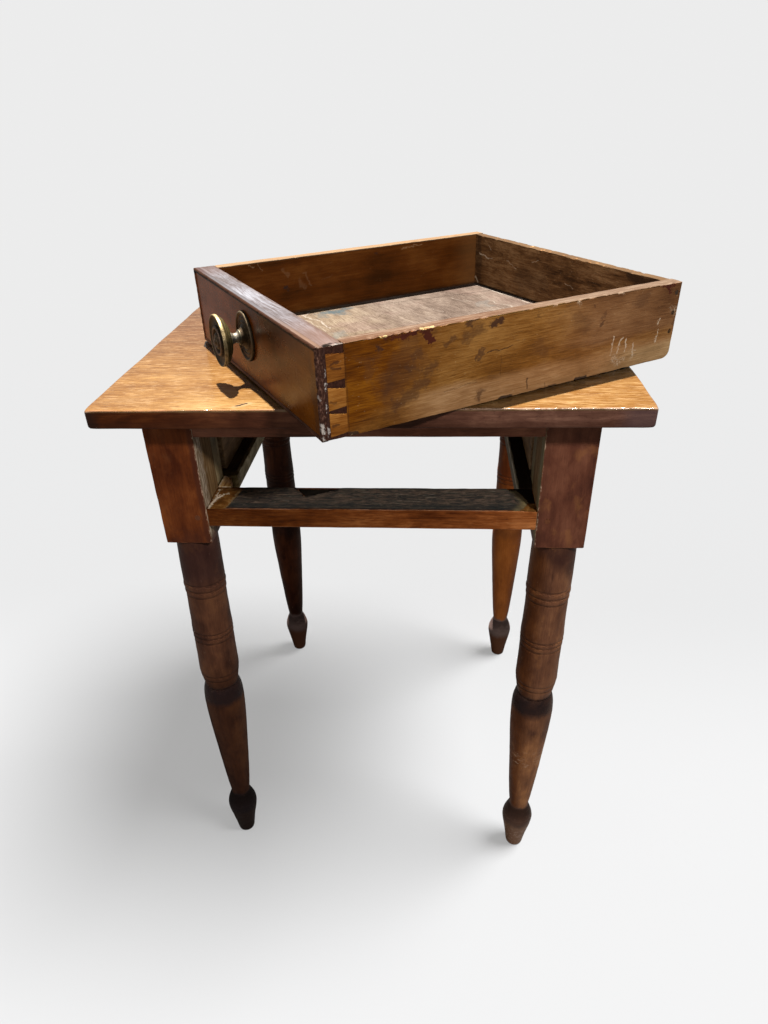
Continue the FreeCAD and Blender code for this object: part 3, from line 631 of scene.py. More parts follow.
def leg_material(which, cx, cy, seed):
    """Leg: old polish, mottled red-brown on the square, browner and patchy on the turning."""
    m = Mat("leg_wood_" + which)
    p = m.frame("table")
    x, y, z = m.xyz(p)
    g = m.grain(p, "z", bend=0.7, seed=seed)
    c, t = shade(m, g, *BLOCKS[which], fig=0.30, streak=0.14, fibre=0.16, blotch=0.75, mottle=0.50, pore=0.25)
    turned, _ = shade(m, g, *TURNED[which], fig=0.25, streak=0.16, fibre=0.18, blotch=0.45 if which == "back_right" else 0.6 if which == "front_right" else 0.85, mottle=0.16 if which == "back_right" else 0.34, pore=0.25)
    if which == "front_left":
        turned = m.mix(m.rng(z, 372.0, 300.0), turned, m.times(turned, (0.42, 0.36, 0.34)))
        turned = m.mix(m.rng(z, 450.0, 488.0), turned, m.times(turned, (0.50, 0.54, 0.80)))
    if which == "front_right":
        turned = m.mix(m.rng(z, 330.0, 200.0), turned, m.times(turned, (1.70, 1.70, 1.38)))
        # painted light and shade by facing: darker brown on the side towards the knee hole, lighter and greyer on the
        # outer side
        turned = m.mix(m.rng(m.facing((1.0, -0.35, 0)), 0.35, -0.45), m.times(turned, (1.10, 1.22, 1.62)), m.times(turned, (0.50, 0.38, 0.27)))
    if which == "back_right":
        # painted shade: the back right turning darker on its flanks facing left and right, and darker above z 350-400
        # where it stands in the bay
        turned = m.mix(m.rng(m.f("ABSOLUTE", m.facing((1, 0, 0))), 0.35, 0.9), turned, m.times(turned, (0.74, 0.64, 0.45)))
        turned = m.mix(m.rng(z, 350.0, 400.0), turned, m.times(turned, (0.50, 0.38, 0.42)))
    c = m.mix(m.rng(z, BLOCK_Z + 0.5, BLOCK_Z - 0.5), c, turned)
    n1 = m.noise(m.scale(p, (0.1, 0.1, 0.05)), 1.0, 4.0, 0.65)
    n2 = m.noise(m.scale(p, (0.045, 0.045, 0.03)), 1.0, 3.0, 0.6)
    bent = m.f("SUBTRACT", n1, 0.5)
    zz = m.f("MULTIPLY_ADD", bent, 14.0, z)
    # purple-dark polish below the square, ebonised shoulder and foot
    lean = 1.0 if which == "front_right" else -0.9
    neck = m.f("MULTIPLY", m.rng(zz, 532.0, 528.0), m.rng(m.f("MULTIPLY_ADD", x, lean, m.f("SUBTRACT", zz, lean * cx)), *((494.0, 516.0) if which == "front_right" else (470.0, 512.0))))
    c = m.mix(m.f("MULTIPLY", neck, 0.0 if cy > 0 else m.rng(n2, 0.34, 0.60, 0.62, 0.92) if cx > 0 else m.rng(n2, 0.34, 0.60, 0.40, 0.85)), c, (0.030, 0.0115, 0.0095))
    shoulder = m.f("MULTIPLY", m.rng(zz, 309.0, 304.0), m.rng(zz, 273.0, 287.0))
    c = m.mix(m.f("MULTIPLY", shoulder, m.rng(n2, 0.3, 0.6, 0.97, 0.80) if cy < 0 else 0.25), c, (0.011, 0.0075, 0.0090))
    # foot colours for each leg; the back feet's greyish upper band is a painted highlight on the ridge
    foot = m.rng(zz, 92.0, 84.0)
    lower, upper = {"front_left": ((0.012, 0.0070, 0.0065), (0.008, 0.0065, 0.0080)), "front_right": ((0.155, 0.080, 0.047), (0.056, 0.031, 0.024)),
                    "back_left": ((0.040, 0.0150, 0.0075), (0.050, 0.034, 0.032)), "back_right": ((0.054, 0.0210, 0.0110), (0.078, 0.060, 0.058))}[which]
    c = m.mix(m.f("MULTIPLY", foot, 0.93), c, m.mix(m.rng(zz, 46.0, 60.0), lower, upper))
    # painted shade: the foot's upward-facing faces darkened against the overhead light
    c = m.mix(m.f("MULTIPLY", foot, m.rng(m.facing((0, 0, 1)), 0.12, 0.45)), c, m.times(c, (0.35, 0.34, 0.36)))
    if which == "front_right":
        # scuffed foot, and a few pale scratches halfway up the taper
        scuff = m.rng(m.noise(m.scale(p, (0.22, 0.22, 0.16)), 1.0, 4.0, 0.72), 0.50, 0.60)
        c = m.mix(m.f("MULTIPLY", m.f("MULTIPLY", scuff, m.rng(z, 52.0, 40.0)), 0.5), c, (0.30, 0.20, 0.15))
        scratch = m.rng(m.noise(m.scale(p, (0.10, 0.10, 0.42)), 1.0, 4.0, 0.7), 0.56, 0.62)
        band = m.f("MULTIPLY", m.rng(z, 216.0, 206.0), m.rng(z, 176.0, 184.0))
        c = m.mix(m.f("MULTIPLY", m.f("MULTIPLY", scratch, band), 0.65), c, (0.36, 0.24, 0.16))
    # patches worn through to a lighter, more orange wood
    worn_ = m.rng(m.noise(m.scale(p, (0.05, 0.05, 0.03)), 1.0, 4.0, 0.6), 0.54, 0.68)
    low = m.f("MULTIPLY", m.f("MULTIPLY", m.any_of(m.rng(z, 312.0, 322.0), m.rng(z, 262.0, 250.0)), m.rng(z, 84.0, 92.0)), {"front_left": 0.12, "front_right": 0.35}.get(which, 0.15))
    c = m.mix(m.f("MULTIPLY", worn_, low), c, TURNED[which][2])
    # painted shade: dark lines laid in the ring grooves
    for gz, amount in ((470.5, 0.6), (460.8, 0.5), (452.4, 0.55), (397.6, 0.6), (390.6, 0.5), (383.2, 0.55), (328.2, 0.5), (319.5, 0.6), (304.6, 0.8)):
        k = m.rng(m.f("ABSOLUTE", m.f("SUBTRACT", z, gz)), 1.7, 0.4)
        c = m.mix(m.f("MULTIPLY", k, m.rng(n1, 0.35, 0.6, amount + 0.2, amount * 0.45)), c, (0.012, 0.005, 0.004))
    # square: rubbed arrises, darker along the inner arris and the bottom
    on = m.rng(z, BLOCK_Z - 0.5, BLOCK_Z + 0.5)
    e = m.edge_of_box(p, (cx - BH, cy - BH, BLOCK_Z), (cx + BH, cy + BH, 700.0))
    sx = 1 if cx > 0 else -1
    inner_x = cx - sx * BH
    d_in = m.f("MULTIPLY", m.f("SUBTRACT", x, inner_x), float(sx))
    if cy < 0:
        strip = m.f("MULTIPLY", m.rng(m.f("MULTIPLY_ADD", bent, 4.0, d_in), 8.5, 4.5), on)
        c = m.mix(m.f("MULTIPLY", strip, 0.65 if cx < 0 else 0.30), c, (0.035, 0.011, 0.008))
    smudge = m.f("MULTIPLY", m.f("MULTIPLY", m.rng(m.f("MULTIPLY_ADD", bent, 26.0, z), BLOCK_Z + 26.0, BLOCK_Z + 6.0), on), m.rng(n2, 0.38, 0.58))
    c = m.mix(m.f("MULTIPLY", smudge, 0.55), c, (0.040, 0.013, 0.009))
    rub = m.f("MULTIPLY", m.f("MULTIPLY", m.rng(e, 1.5, 0.3), m.rng(n1, 0.44, 0.62)), on)
    c = m.mix(m.f("MULTIPLY", rub, 0.5), c, (0.21, 0.080, 0.035))
    fine = m.noise(m.scale(p, (0.5, 0.5, 0.22)), 1.0, 4.0, 0.7)
    if cy < 0:
        chips = m.f("MULTIPLY", m.f("MULTIPLY", m.rng(d_in, 2.0, 0.6), m.rng(y, -234.0, -236.0)), m.f("MULTIPLY", m.rng(fine, 0.52, 0.60), on))
        c = m.mix(m.f("MULTIPLY", chips, 0.8), c, (0.42, 0.30, 0.22))
    # small pale specks and scratches
    dust = m.rng(m.noise(m.scale(p, (0.30, 0.30, 0.14)), 1.0, 4.0, 0.75), 0.66, 0.74)
    c = m.mix(m.f("MULTIPLY", dust, 0.30), c, (0.30, 0.20, 0.14))
    r = m.lerp(m.any_of(shoulder, m.rng(z, 82.0, 60.0)), m.lerp(n1, 0.30, 0.52), 0.26 if cy < 0 else 0.60)
    h = wood_height(m, g)
    if cy < 0:
        # the inner face behind the drawer was never polished: scraped in front, brown behind
        inner = m.rng(m.facing((-sx, 0, 0)), 0.55, 0.8)
        yy = m.f("MULTIPLY_ADD", bent, 22.0, y)
        scraped = m.ramp(m.noise(m.scale(p, (0.3, 0.55, 0.05)), 1.0, 5.0, 0.72), [(0.30, (0.050, 0.034, 0.020)), (0.48, (0.15, 0.105, 0.068)), (0.62, (0.44, 0.37, 0.29))])
        brown = m.ramp(g["streak"], [(0.3, (0.045, 0.024, 0.009)), (0.5, (0.115, 0.066, 0.028)), (0.7, (0.20, 0.125, 0.06))])
        if cx > 0:
            scraped = m.ramp(m.noise(m.scale(p, (0.3, 0.4, 0.04)), 1.0, 5.0, 0.7), [(0.28, (0.055, 0.042, 0.020)), (0.5, (0.125, 0.10, 0.055)), (0.7, (0.24, 0.20, 0.12))])
        raw = m.mix(m.rng(yy, -224.0, -214.0), scraped, brown)
        above = m.rng(z, BLOCK_Z + 2.0, BLOCK_Z + 16.0)
        c = m.mix(m.f("MULTIPLY", inner, above), c, raw)
        r = m.lerp(m.f("MULTIPLY", inner, above), r, 0.85)
    return m.finish(c, r, h, strength=0.40, distance=0.0003, spec=0.10 if which in ("front_left", "back_left") else 0.16, tint=(1.0, 0.66, 0.45))


def side_wood(name, side):
    m = Mat(name)
    p = m.frame("drawer")
    u, v, w = m.xyz(p)
    g = m.grain(p, "y", bend=0.55, seed=3.0 + side)
    return m, p, u, v, w, g


def mat_side_outer(name, lo, hi):
    """Near side's outer face between two stations of its length: marks that lie elsewhere are left out."""
    m, p, u, v, w, g = side_wood(name, 1)
    kw = dict(fig=0.20, streak=0.14, fibre=0.42, blotch=0.55, dash=0.24, line=0.18, mottle=0.22, pore=0.45)
    if lo > 200:
        kw.update(streak=0.12, fibre=0.36, dash=0.22, line=0.14, pore=0.35)
    c, t = shade(m, g, (0.052, 0.0175, 0.0026), (0.124, 0.0490, 0.0088), (0.215, 0.105, 0.028), **kw)
    n1 = m.noise(m.scale(p, (0.05, 0.03, 0.06)), 1.0, 5.0, 0.65)
    n2 = m.noise(m.scale(p, (0.02, 0.012, 0.03)), 1.0, 4.0, 0.6)
    b1 = m.f("SUBTRACT", n1, 0.5)
    b2 = m.f("SUBTRACT", n2, 0.5)
    va = m.f("MULTIPLY_ADD", b2, 90.0, v)
    planes = {}

    def paint(c, amount, scale, rows, color, soft=0.8, thin=None):
        rows = [r for r in rows if max(r[0], r[2]) > lo - 14 and min(r[0], r[2]) < hi + 14]
        if not rows:
            return c
        if (amount, scale) not in planes:
            planes[amount, scale] = m.plane(v, w, amount, scale)
        k = m.marks(planes[amount, scale], rows, soft)
        if thin is not None:
            k = m.f("MULTIPLY", k, thin)
        return m.mix(k, c, color)

    if lo < 160:
        # golden near the dovetails
        wa = m.f("MULTIPLY_ADD", b2, 26.0, w)
        gold = m.f("MULTIPLY", m.rng(va, 112.0, 62.0), m.rng(m.f("SUBTRACT", wa, m.f("MULTIPLY", v, 0.42)), -16.0, 6.0))
        c = m.mix(m.f("MULTIPLY", gold, 0.92), c, m.ramp(t, [(0.2, (0.030, 0.0066, 0.0002)), (0.5, (0.084, 0.0225, 0.0004)), (0.8, (0.165, 0.056, 0.0015))]))
    if lo < 24:
        # the tails themselves, more orange
        c = m.mix(m.rng(v, 24.2, 22.6), c, m.ramp(t, [(0.2, (0.060, 0.015, 0.002)), (0.5, (0.165, 0.058, 0.009)), (0.8, (0.28, 0.125, 0.028))]))
    if hi > 160:
        # redder and duller towards the back above
        wb = m.f("MULTIPLY_ADD", b2, 26.0, w)
        back = m.f("MULTIPLY", m.rng(va, 215.0, 300.0), m.rng(wb, 22.0, 40.0))
        c = m.mix(m.f("MULTIPLY", back, 0.75), c, m.ramp(t, [(0.15, (0.060, 0.025, 0.011)), (0.5, (0.118, 0.056, 0.026)), (0.85, (0.185, 0.10, 0.052))]))
    # paler tan below
    low = m.f("MULTIPLY", m.rng(m.f("MULTIPLY_ADD", b2, 22.0, w), 31.0, 17.0), m.rng(v, 62.0, 118.0))
    c = m.mix(m.f("MULTIPLY", low, 0.80), c, m.ramp(t, [(0.15, (0.125, 0.058, 0.022)), (0.5, (0.225, 0.122, 0.056)), (0.85, (0.34, 0.215, 0.115))]))
    if hi > 285:
        heel = m.f("MULTIPLY", m.rng(m.f("MULTIPLY_ADD", b1, 8.0, w), 24.0, 17.0), m.rng(v, 285.0, 345.0))
        c = m.mix(m.f("MULTIPLY", heel, 0.8), c, m.ramp(t, [(0.15, (0.13, 0.075, 0.030)), (0.5, (0.24, 0.15, 0.072)), (0.85, (0.36, 0.25, 0.14))]))
    # purple-brown stain running down from the rim
    c = paint(c, 16.0, 0.035, [(82, 60, 66, 34, 14, 0.55), (66, 36, 62, 16, 10, 0.42), (46, 66, 44, 52, 7, 0.42), (96, 46, 88, 54, 9, 0.40)], m.mix(t, (0.028, 0.0095, 0.0035), (0.092, 0.038, 0.0150)), 1.3)
    c = paint(c, 4.2, 0.13, [(70, 18.5, 98, 34, 4.6, 0.60), (60, 32, 66, 46, 4.0, 0.35), (138, 64, 151, 69, 4.6, 0.5), (117, 62.5, 125, 66, 2.6, 0.6), (96, 41, 107, 43.5, 3.2, 0.5),
                             (80, 48, 88, 46, 2.8, 0.6), (150.0, 45.5, 154.5, 50, 2.3, 0.75), (86, 57, 92, 59, 3.4, 0.45), (151, 8, 155, 12, 3.0, 0.7),
                             (258, 62, 268, 52, 7.0, 0.30), (215, 44, 222, 38, 7.0, 0.32), (330, 66, 338, 70, 5.0, 0.38)], m.mix(n1, (0.024, 0.010, 0.006), (0.062, 0.028, 0.015)), 1.3)
    c = paint(c, 4.2, 0.13, [(141, 76.5, 144, 77.5, 3.9, 0.8), (165.5, 70.2, 170, 72.5, 3.6, 0.92), (53.3, 69.3, 54.5, 69.6, 1.6, 0.9),
                             (274.5, 70.2, 275.5, 70.4, 1.7, 0.5), (289, 61, 290, 60, 2.0, 0.35), (287, 53.0, 290, 54.5, 1.6, 0.6), (211, 71, 213, 71, 1.6, 0.4),
                             (383, 42, 381, 38, 2.0, 0.5)], (0.030, 0.013, 0.009), 0.8)
    # reddish-dark chips under the rim
    c = paint(c, 2.6, 0.28, [(60, 76.8, 72, 75.0, 1.7, 0.85), (76, 75.2, 80, 74.2, 2.5, 1.0), (84, 76.4, 88, 75.4, 2.2, 1.0), (92, 78, 104, 77, 2.5, 0.85),
                             (97, 74, 103, 67.5, 3.4, 1.0), (357, 77.5, 373, 75.5, 1.3, 0.85), (365, 75.5, 368.5, 71.5, 2.3, 1.0)], m.mix(n1, (0.016, 0.003, 0.002), (0.062, 0.014, 0.009)), 0.35)
    # short cracks and a few dark nicks along the lower arris
    c = paint(c, 1.2, 0.10, [(160, 47.2, 187, 48.8, 0.45, 0.85), (174.4, 43, 176, 24, 0.35, 0.40), (205.6, 14, 206.5, 5, 0.8, 0.65), (227, 6, 228.5, 0, 0.7, 0.4),
                             (116, 20, 150, 22.5, 0.35, 0.5), (300, 12, 372, 13.0, 0.35, 0.35), (240, 33, 300, 36, 0.3, 0.3)], (0.022, 0.010, 0.007))
    c = paint(c, 1.2, 0.10, [(176, 0.4, 189, 0.6, 1.6, 0.9), (264, 0.8, 276, 1.2, 1.8, 0.9), (232, 0.4, 240, 0.4, 1.2, 0.7), (30, 1.5, 23.5, 2.5, 2.6, 0.85)], (0.020, 0.014, 0.012), 0.5)
    if hi > 220:
        # rubbed chalk: short loose strokes
        fine = m.noise(m.scale(p, 0.55), 1.0, 4.0, 0.7)
        c = paint(c, 1.3, 0.25, [(305.5, 37.5, 304.6, 27, 0.75, 0.9), (304.4, 27, 304.5, 18, 0.6, 0.5), (317.5, 34, 314.5, 32.5, 0.7, 0.9), (314.5, 32.5, 312.6, 24.5, 0.7, 0.9),
                                 (312.6, 24.5, 312.0, 19, 0.8, 0.7), (321.4, 31.5, 322.4, 19, 0.7, 0.9), (331.5, 25, 333.2, 11.5, 0.75, 0.8), (329.5, 19.5, 336.0, 17.6, 0.5, 0.6),
                                 (361.8, 46.0, 360.0, 40.0, 0.8, 0.8), (362.4, 34.0, 360.6, 22.0, 0.8, 0.9)], (0.36, 0.29, 0.22), 1.0, m.rng(fine, 0.34, 0.54))
        c = paint(c, 1.3, 0.25, [(309, 14, 314.5, 8, 3.4, 0.75), (318, 12, 322.5, 10.5, 2.0, 0.55), (334, 12.5, 331, 9.5, 1.6, 0.5), (379.5, 53, 382, 48, 2.6, 0.65),
                                 (374, 55, 377, 50, 1.8, 0.35), (256, 77, 259, 74.5, 1.5, 0.7), (228, 77.6, 232, 77.2, 0.9, 0.6), (303, 78, 309, 77.6, 0.9, 0.5)], (0.34, 0.27, 0.20), 1.2, m.rng(fine, 0.44, 0.60))
    # scribed line the tails were marked from
    c = paint(c, 0.5, 0.1, [(24.4, 2, 24.0, 77, 0.40, 0.40)], (0.03, 0.013, 0.006))
    c = paint(c, 1.2, 0.2, [(8, 0.8, 23, 2.0, 2.0, 0.9), (11, 63.5, 18, 64.5, 0.9, 0.7), (12, 60, 19, 58.5, 1.3, 0.7), (9, 33, 14, 32, 1.0, 0.5), (10, 12.5, 15, 12, 1.3, 0.6)], (0.030, 0.012, 0.007), 0.8)
    speck = m.rng(m.noise(m.scale(p, (0.5, 0.28, 0.5)), 1.0, 3.0, 0.7), 0.66, 0.72)
    c = m.mix(m.f("MULTIPLY", speck, 0.35), c, (0.36, 0.25, 0.14))
    c = paint(c, 1.0, 0.2, [(56, 77.8, 61, 78.0, 0.9, 0.8), (94.5, 78.0, 105.5, 78.2, 0.8, 0.9)], (0.26, 0.185, 0.075), 0.4)
    c = m.mix(m.rng(w, 77.0, 78.0), c, m.times(c, (0.30, 0.36, 0.42)))
    r = m.lerp(n1, 0.44, 0.66)
    return m.finish(c, r, wood_height(m, g), strength=0.5, distance=0.0003, spec=0.12, tint=WARM)


def inside_colour(m, g, w, b1):
    ins, _ = shade(m, g, (0.022, 0.0062, 0.0010), (0.054, 0.0145, 0.0019), (0.098, 0.034, 0.0065), fig=0.45, streak=0.22, fibre=0.18, blotch=0.7, dash=0.12, pore=0.2)
    # dirt and painted shade in the corner along the bottom board
    return ins, m.f("MULTIPLY", m.rng(m.f("MULTIPLY_ADD", b1, 2.0, w), 21.4, 19.4), 0.6)


def mat_side_rim(name):
    """Near side's upper edge, rubbed and chipped, and its inner face."""
    m, p, u, v, w, g = side_wood(name, 1)
    n1 = m.noise(m.scale(p, (0.05, 0.03, 0.06)), 1.0, 5.0, 0.65)
    b1 = m.f("SUBTRACT", n1, 0.5)
    ins, dirt_and_corner_shade = inside_colour(m, g, w, b1)
    # dirt and painted shade along the foot of the wall
    c = m.mix(dirt_and_corner_shade, ins, (0.014, 0.008, 0.005))
    t = m.f("ADD", m.f("MULTIPLY", g["streak"], 0.5), m.f("MULTIPLY", g["dash"], 0.5))
    pale = m.mix(m.rng(v, 130.0, 260.0), (0.026, 0.0114, 0.0057), (0.037, 0.0255, 0.0185))
    pale = m.mix(m.f("MULTIPLY", m.rng(m.f("MULTIPLY_ADD", b1, 5.0, u), 166.5, 162.0), m.rng(v, 190.0, 110.0)), pale, (0.050, 0.036, 0.028))
    rimc = m.mix(m.rng(t, 0.38, 0.62), m.mix(m.rng(v, 130.0, 260.0), (0.019, 0.0076, 0.0038), (0.027, 0.0160, 0.0105)), pale)
    rimc = m.mix(m.f("MULTIPLY", m.rng(g["dash"], 0.50, 0.64), 0.35), rimc, (0.075, 0.058, 0.044))
    q = m.plane(u, v, 1.2, 0.2)
    chips = m.marks(q, [(170.5, 57.2, 171.5, 60.2, 1.7, 1.0), (170.0, 95.5, 170.5, 104.5, 2.0, 1.0)], soft=0.4)
    rimc = m.mix(chips, rimc, (0.090, 0.073, 0.036))
    rim = m.rng(m.f("MULTIPLY_ADD", b1, 1.2, w), 76.9, 77.7)
    c = m.mix(m.f("MULTIPLY", rim, m.rng(n1, 0.28, 0.38)), m.mix(rim, c, m.times(c, 0.4)), rimc)
    r = m.lerp(n1, 0.44, 0.66)
    return m.finish(c, r, wood_height(m, g), strength=0.5, distance=0.0003, spec=0.12, tint=WARM)


def mat_side_left(name):
    m, p, u, v, w, g = side_wood(name, -1)
    kw = dict(fig=0.22, streak=0.26, fibre=0.35, blotch=0.34, dash=0.42, line=0.38, pore=0.4)
    c, t = shade(m, g, (0.050, 0.018, 0.0045), (0.122, 0.052, 0.0150), (0.215, 0.112, 0.040), **kw)
    n1 = m.noise(m.scale(p, (0.05, 0.03, 0.06)), 1.0, 5.0, 0.65)
    b1 = m.f("SUBTRACT", n1, 0.5)
    ins, dirt_and_corner_shade = inside_colour(m, g, w, b1)
    q = m.plane(v, w, 3.0, 0.12)
    scr = m.marks(q, [(60, 77, 66, 75, 0.7, 0.30), (71, 76.5, 75, 70, 0.6, 0.25), (128, 60, 133, 47, 1.6, 0.10), (120, 52, 126, 45, 2.4, 0.09), (100, 66, 108, 62, 2.2, 0.10),
                      (150, 50, 165, 54, 0.5, 0.08), (262, 74, 290, 76, 0.6, 0.35)], soft=1.0)
    ins = m.mix(scr, ins, (0.26, 0.17, 0.10))
    dot = m.marks(q, [(100.5, 47.0, 101.0, 47.5, 2.2, 0.85), (103.5, 44.0, 104.0, 44.5, 1.2, 0.5), (222, 72, 226, 71, 1.0, 0.5)], soft=0.8)
    ins = m.mix(dot, ins, (0.018, 0.011, 0.010))
    speck = m.rng(m.noise(m.scale(p, 0.35), 1.0, 3.0, 0.7), 0.66, 0.73)
    ins = m.mix(m.f("MULTIPLY", speck, 0.30), ins, (0.16, 0.09, 0.045))
    # paler by the back corner
    ins = m.mix(m.f("MULTIPLY", m.rng(v, 330.0, 372.0), 0.35), ins, (0.15, 0.072, 0.026))
    # dirt and painted shade along the foot of the wall
    ins = m.mix(dirt_and_corner_shade, ins, (0.014, 0.008, 0.005))
    inner = m.rng(m.facing(tuple(DU)), 0.5, 0.8)
    c = m.mix(inner, c, ins)
    rim = m.rng(m.f("MULTIPLY_ADD", b1, 1.2, w), 76.9, 77.7)
    rimc = m.mix(t, (0.040, 0.0210, 0.0110), (0.100, 0.070, 0.042))
    c = m.mix(m.f("MULTIPLY", rim, m.rng(n1, 0.30, 0.40)), m.mix(rim, c, m.times(c, 0.4)), rimc)
    r = m.lerp(n1, 0.44, 0.66)
    return m.finish(c, r, wood_height(m, g), strength=0.5, distance=0.0003, spec=0.08, tint=WARM)


def mat_drawer_back():
    """Inside: dark, dusty and speckled, with pale scratches by the left corner."""
    m = Mat("back_wood")
    p = m.frame("drawer")
    u, v, w = m.xyz(p)
    g = m.grain(p, "x", bend=1.2, seed=5.0)
    c, t = shade(m, g, (0.032, 0.0135, 0.0052), (0.108, 0.050, 0.0190), (0.220, 0.122, 0.056), fig=0.35, streak=0.28, fibre=0.35, blotch=0.55, mottle=0.45, dash=0.40, pore=0.5)
    speck = m.rng(m.noise(m.scale(p, (0.30, 0.4, 0.45)), 1.0, 4.0, 0.72), 0.60, 0.70)
    c = m.mix(m.f("MULTIPLY", speck, 0.45), c, (0.30, 0.215, 0.14))
    q = m.plane(u, w, 5.0, 0.06)
    dark = m.marks(q, [(118, 76, 150, 72, 7.0, 0.75), (-152, 70, -150, 30, 7.0, 0.55), (60, 30, 100, 34, 8.0, 0.35), (-60, 40, -20, 44, 12.0, 0.3)], soft=1.0)
    c = m.mix(dark, c, (0.020, 0.011, 0.007))
    q = m.plane(u, w, 1.5, 0.15)
    scr = m.marks(q, [(-150, 56.5, -128, 53.5, 0.7, 0.6), (-128, 53.5, -120, 54.5, 0.6, 0.35), (-156, 27, -150, 21, 1.4, 0.6), (-130, 70, -124, 64, 0.5, 0.45), (-90, 58, -70, 50, 0.4, 0.35),
                      (-40, 62, -30, 66, 0.4, 0.4), (20, 50, 34, 46, 0.4, 0.35)], soft=0.9)
    c = m.mix(scr, c, (0.48, 0.38, 0.28))
    # dirt and painted shade along the foot of the board
    c = m.mix(m.f("MULTIPLY", m.rng(w, 21.4, 19.4), 0.6), c, (0.014, 0.009, 0.006))
    top = m.rng(w, 76.6, 77.4)
    n1 = m.noise(m.scale(p, 0.09), 1.0, 4.0, 0.65)
    c = m.mix(m.f("MULTIPLY", top, m.rng(n1, 0.30, 0.42)), c, m.mix(t, (0.0135, 0.0062, 0.0024), (0.037, 0.0215, 0.0098)))
    r = m.lerp(m.noise(m.scale(p, 0.08), 1.0, 3.0), 0.5, 0.75)
    return m.finish(c, r, wood_height(m, g), strength=0.6, distance=0.0004, spec=0.08, tint=WARM)


def mat_drawer_floor():
    """Bare board, greyed and pinkish, with an ink stain and scratches."""
    m = Mat("bottom_wood")
    p = m.frame("drawer")
    u, v, w = m.xyz(p)
    g = m.grain(p, "x", bend=1.8, seed=6.0)
    c, t = shade(m, g, (0.085, 0.048, 0.034), (0.215, 0.150, 0.115), (0.37, 0.285, 0.225), fig=0.30, streak=0.16, fibre=0.50, blotch=0.40, dash=0.44, mottle=0.45, pore=0.5)
    n2 = m.noise(m.scale(p, 0.018), 1.0, 3.0, 0.6)
    va = m.f("MULTIPLY_ADD", m.f("SUBTRACT", n2, 0.5), 150.0, v)
    tan = m.rng(va, 235.0, 130.0)
    c = m.mix(m.f("MULTIPLY", tan, 0.55), c, m.ramp(t, [(0.15, (0.13, 0.07, 0.032)), (0.5, (0.30, 0.205, 0.115)), (0.85, (0.47, 0.36, 0.225))]))
    pink = m.rng(n2, 0.52, 0.66)
    c = m.mix(m.f("MULTIPLY", pink, 0.4), c, m.mix(t, (0.12, 0.055, 0.04), (0.40, 0.26, 0.21)))
    q = m.plane(u, v, 9.0, 0.05)
    ink = m.marks(q, [(-134, 142, -128, 158, 9, 0.95), (-140, 165, -138, 172, 5, 0.7), (-126, 132, -118, 128, 5, 0.5)], soft=1.2)
    ink = m.f("MULTIPLY", ink, m.rng(m.noise(m.scale(p, 0.12), 1.0, 4.0, 0.7), 0.28, 0.52, 0.25, 1.0))
    c = m.mix(ink, c, (0.050, 0.100, 0.125))
    faint = m.marks(q, [(-52, 318, -70, 326, 7, 0.3), (-40, 110, -44, 118, 8, 0.45)], soft=1.2)
    c = m.mix(faint, c, (0.17, 0.20, 0.20))
    # curved scratches and dark lines of grain
    q = m.plane(u, v, 7.0, 0.018)
    light = m.marks(q, [(-140, 118, -70, 122, 0.9, 0.8), (-146, 108, -60, 113, 0.7, 0.5), (-150, 128, -128, 116, 0.8, 0.7), (-70, 330, -20, 344, 0.6, 0.6), (-148, 366, 20, 368, 1.3, 0.7),
                        (-156, 130, -156, 360, 0.8, 0.35), (-120, 250, -60, 262, 0.5, 0.4), (-110, 300, -60, 318, 0.6, 0.4)], soft=0.9)
    c = m.mix(light, c, (0.56, 0.48, 0.40))
    lines = m.marks(q, [(-62, 128, -92, 214, 0.8, 0.55), (-150, 250, -60, 300, 0.9, 0.4), (-40, 150, -60, 230, 0.7, 0.4), (-130, 300, -60, 318, 0.9, 0.35), (-100, 180, -20, 196, 0.8, 0.35),
                        (-150, 200, -90, 216, 0.8, 0.3)], soft=1.1)
    c = m.mix(lines, c, (0.085, 0.045, 0.030))
    # dirt and painted shade along the foot of the walls
    dirt_and_corner_shade = m.any_of(m.rng(u, -157.2, -158.4), m.rng(v, 371.8, 372.6), m.rng(v, 25.0, 23.6))
    c = m.mix(m.f("MULTIPLY", dirt_and_corner_shade, 0.5), c, (0.05, 0.03, 0.022))
    c = m.times(c, (0.142, 0.148, 0.160))
    r = m.lerp(m.noise(m.scale(p, 0.08), 1.0, 3.0), 0.5, 0.75)
    return m.finish(c, r, wood_height(m, g), strength=0.6, distance=0.0004, spec=0.12, tint=(1.0, 0.85, 0.7))


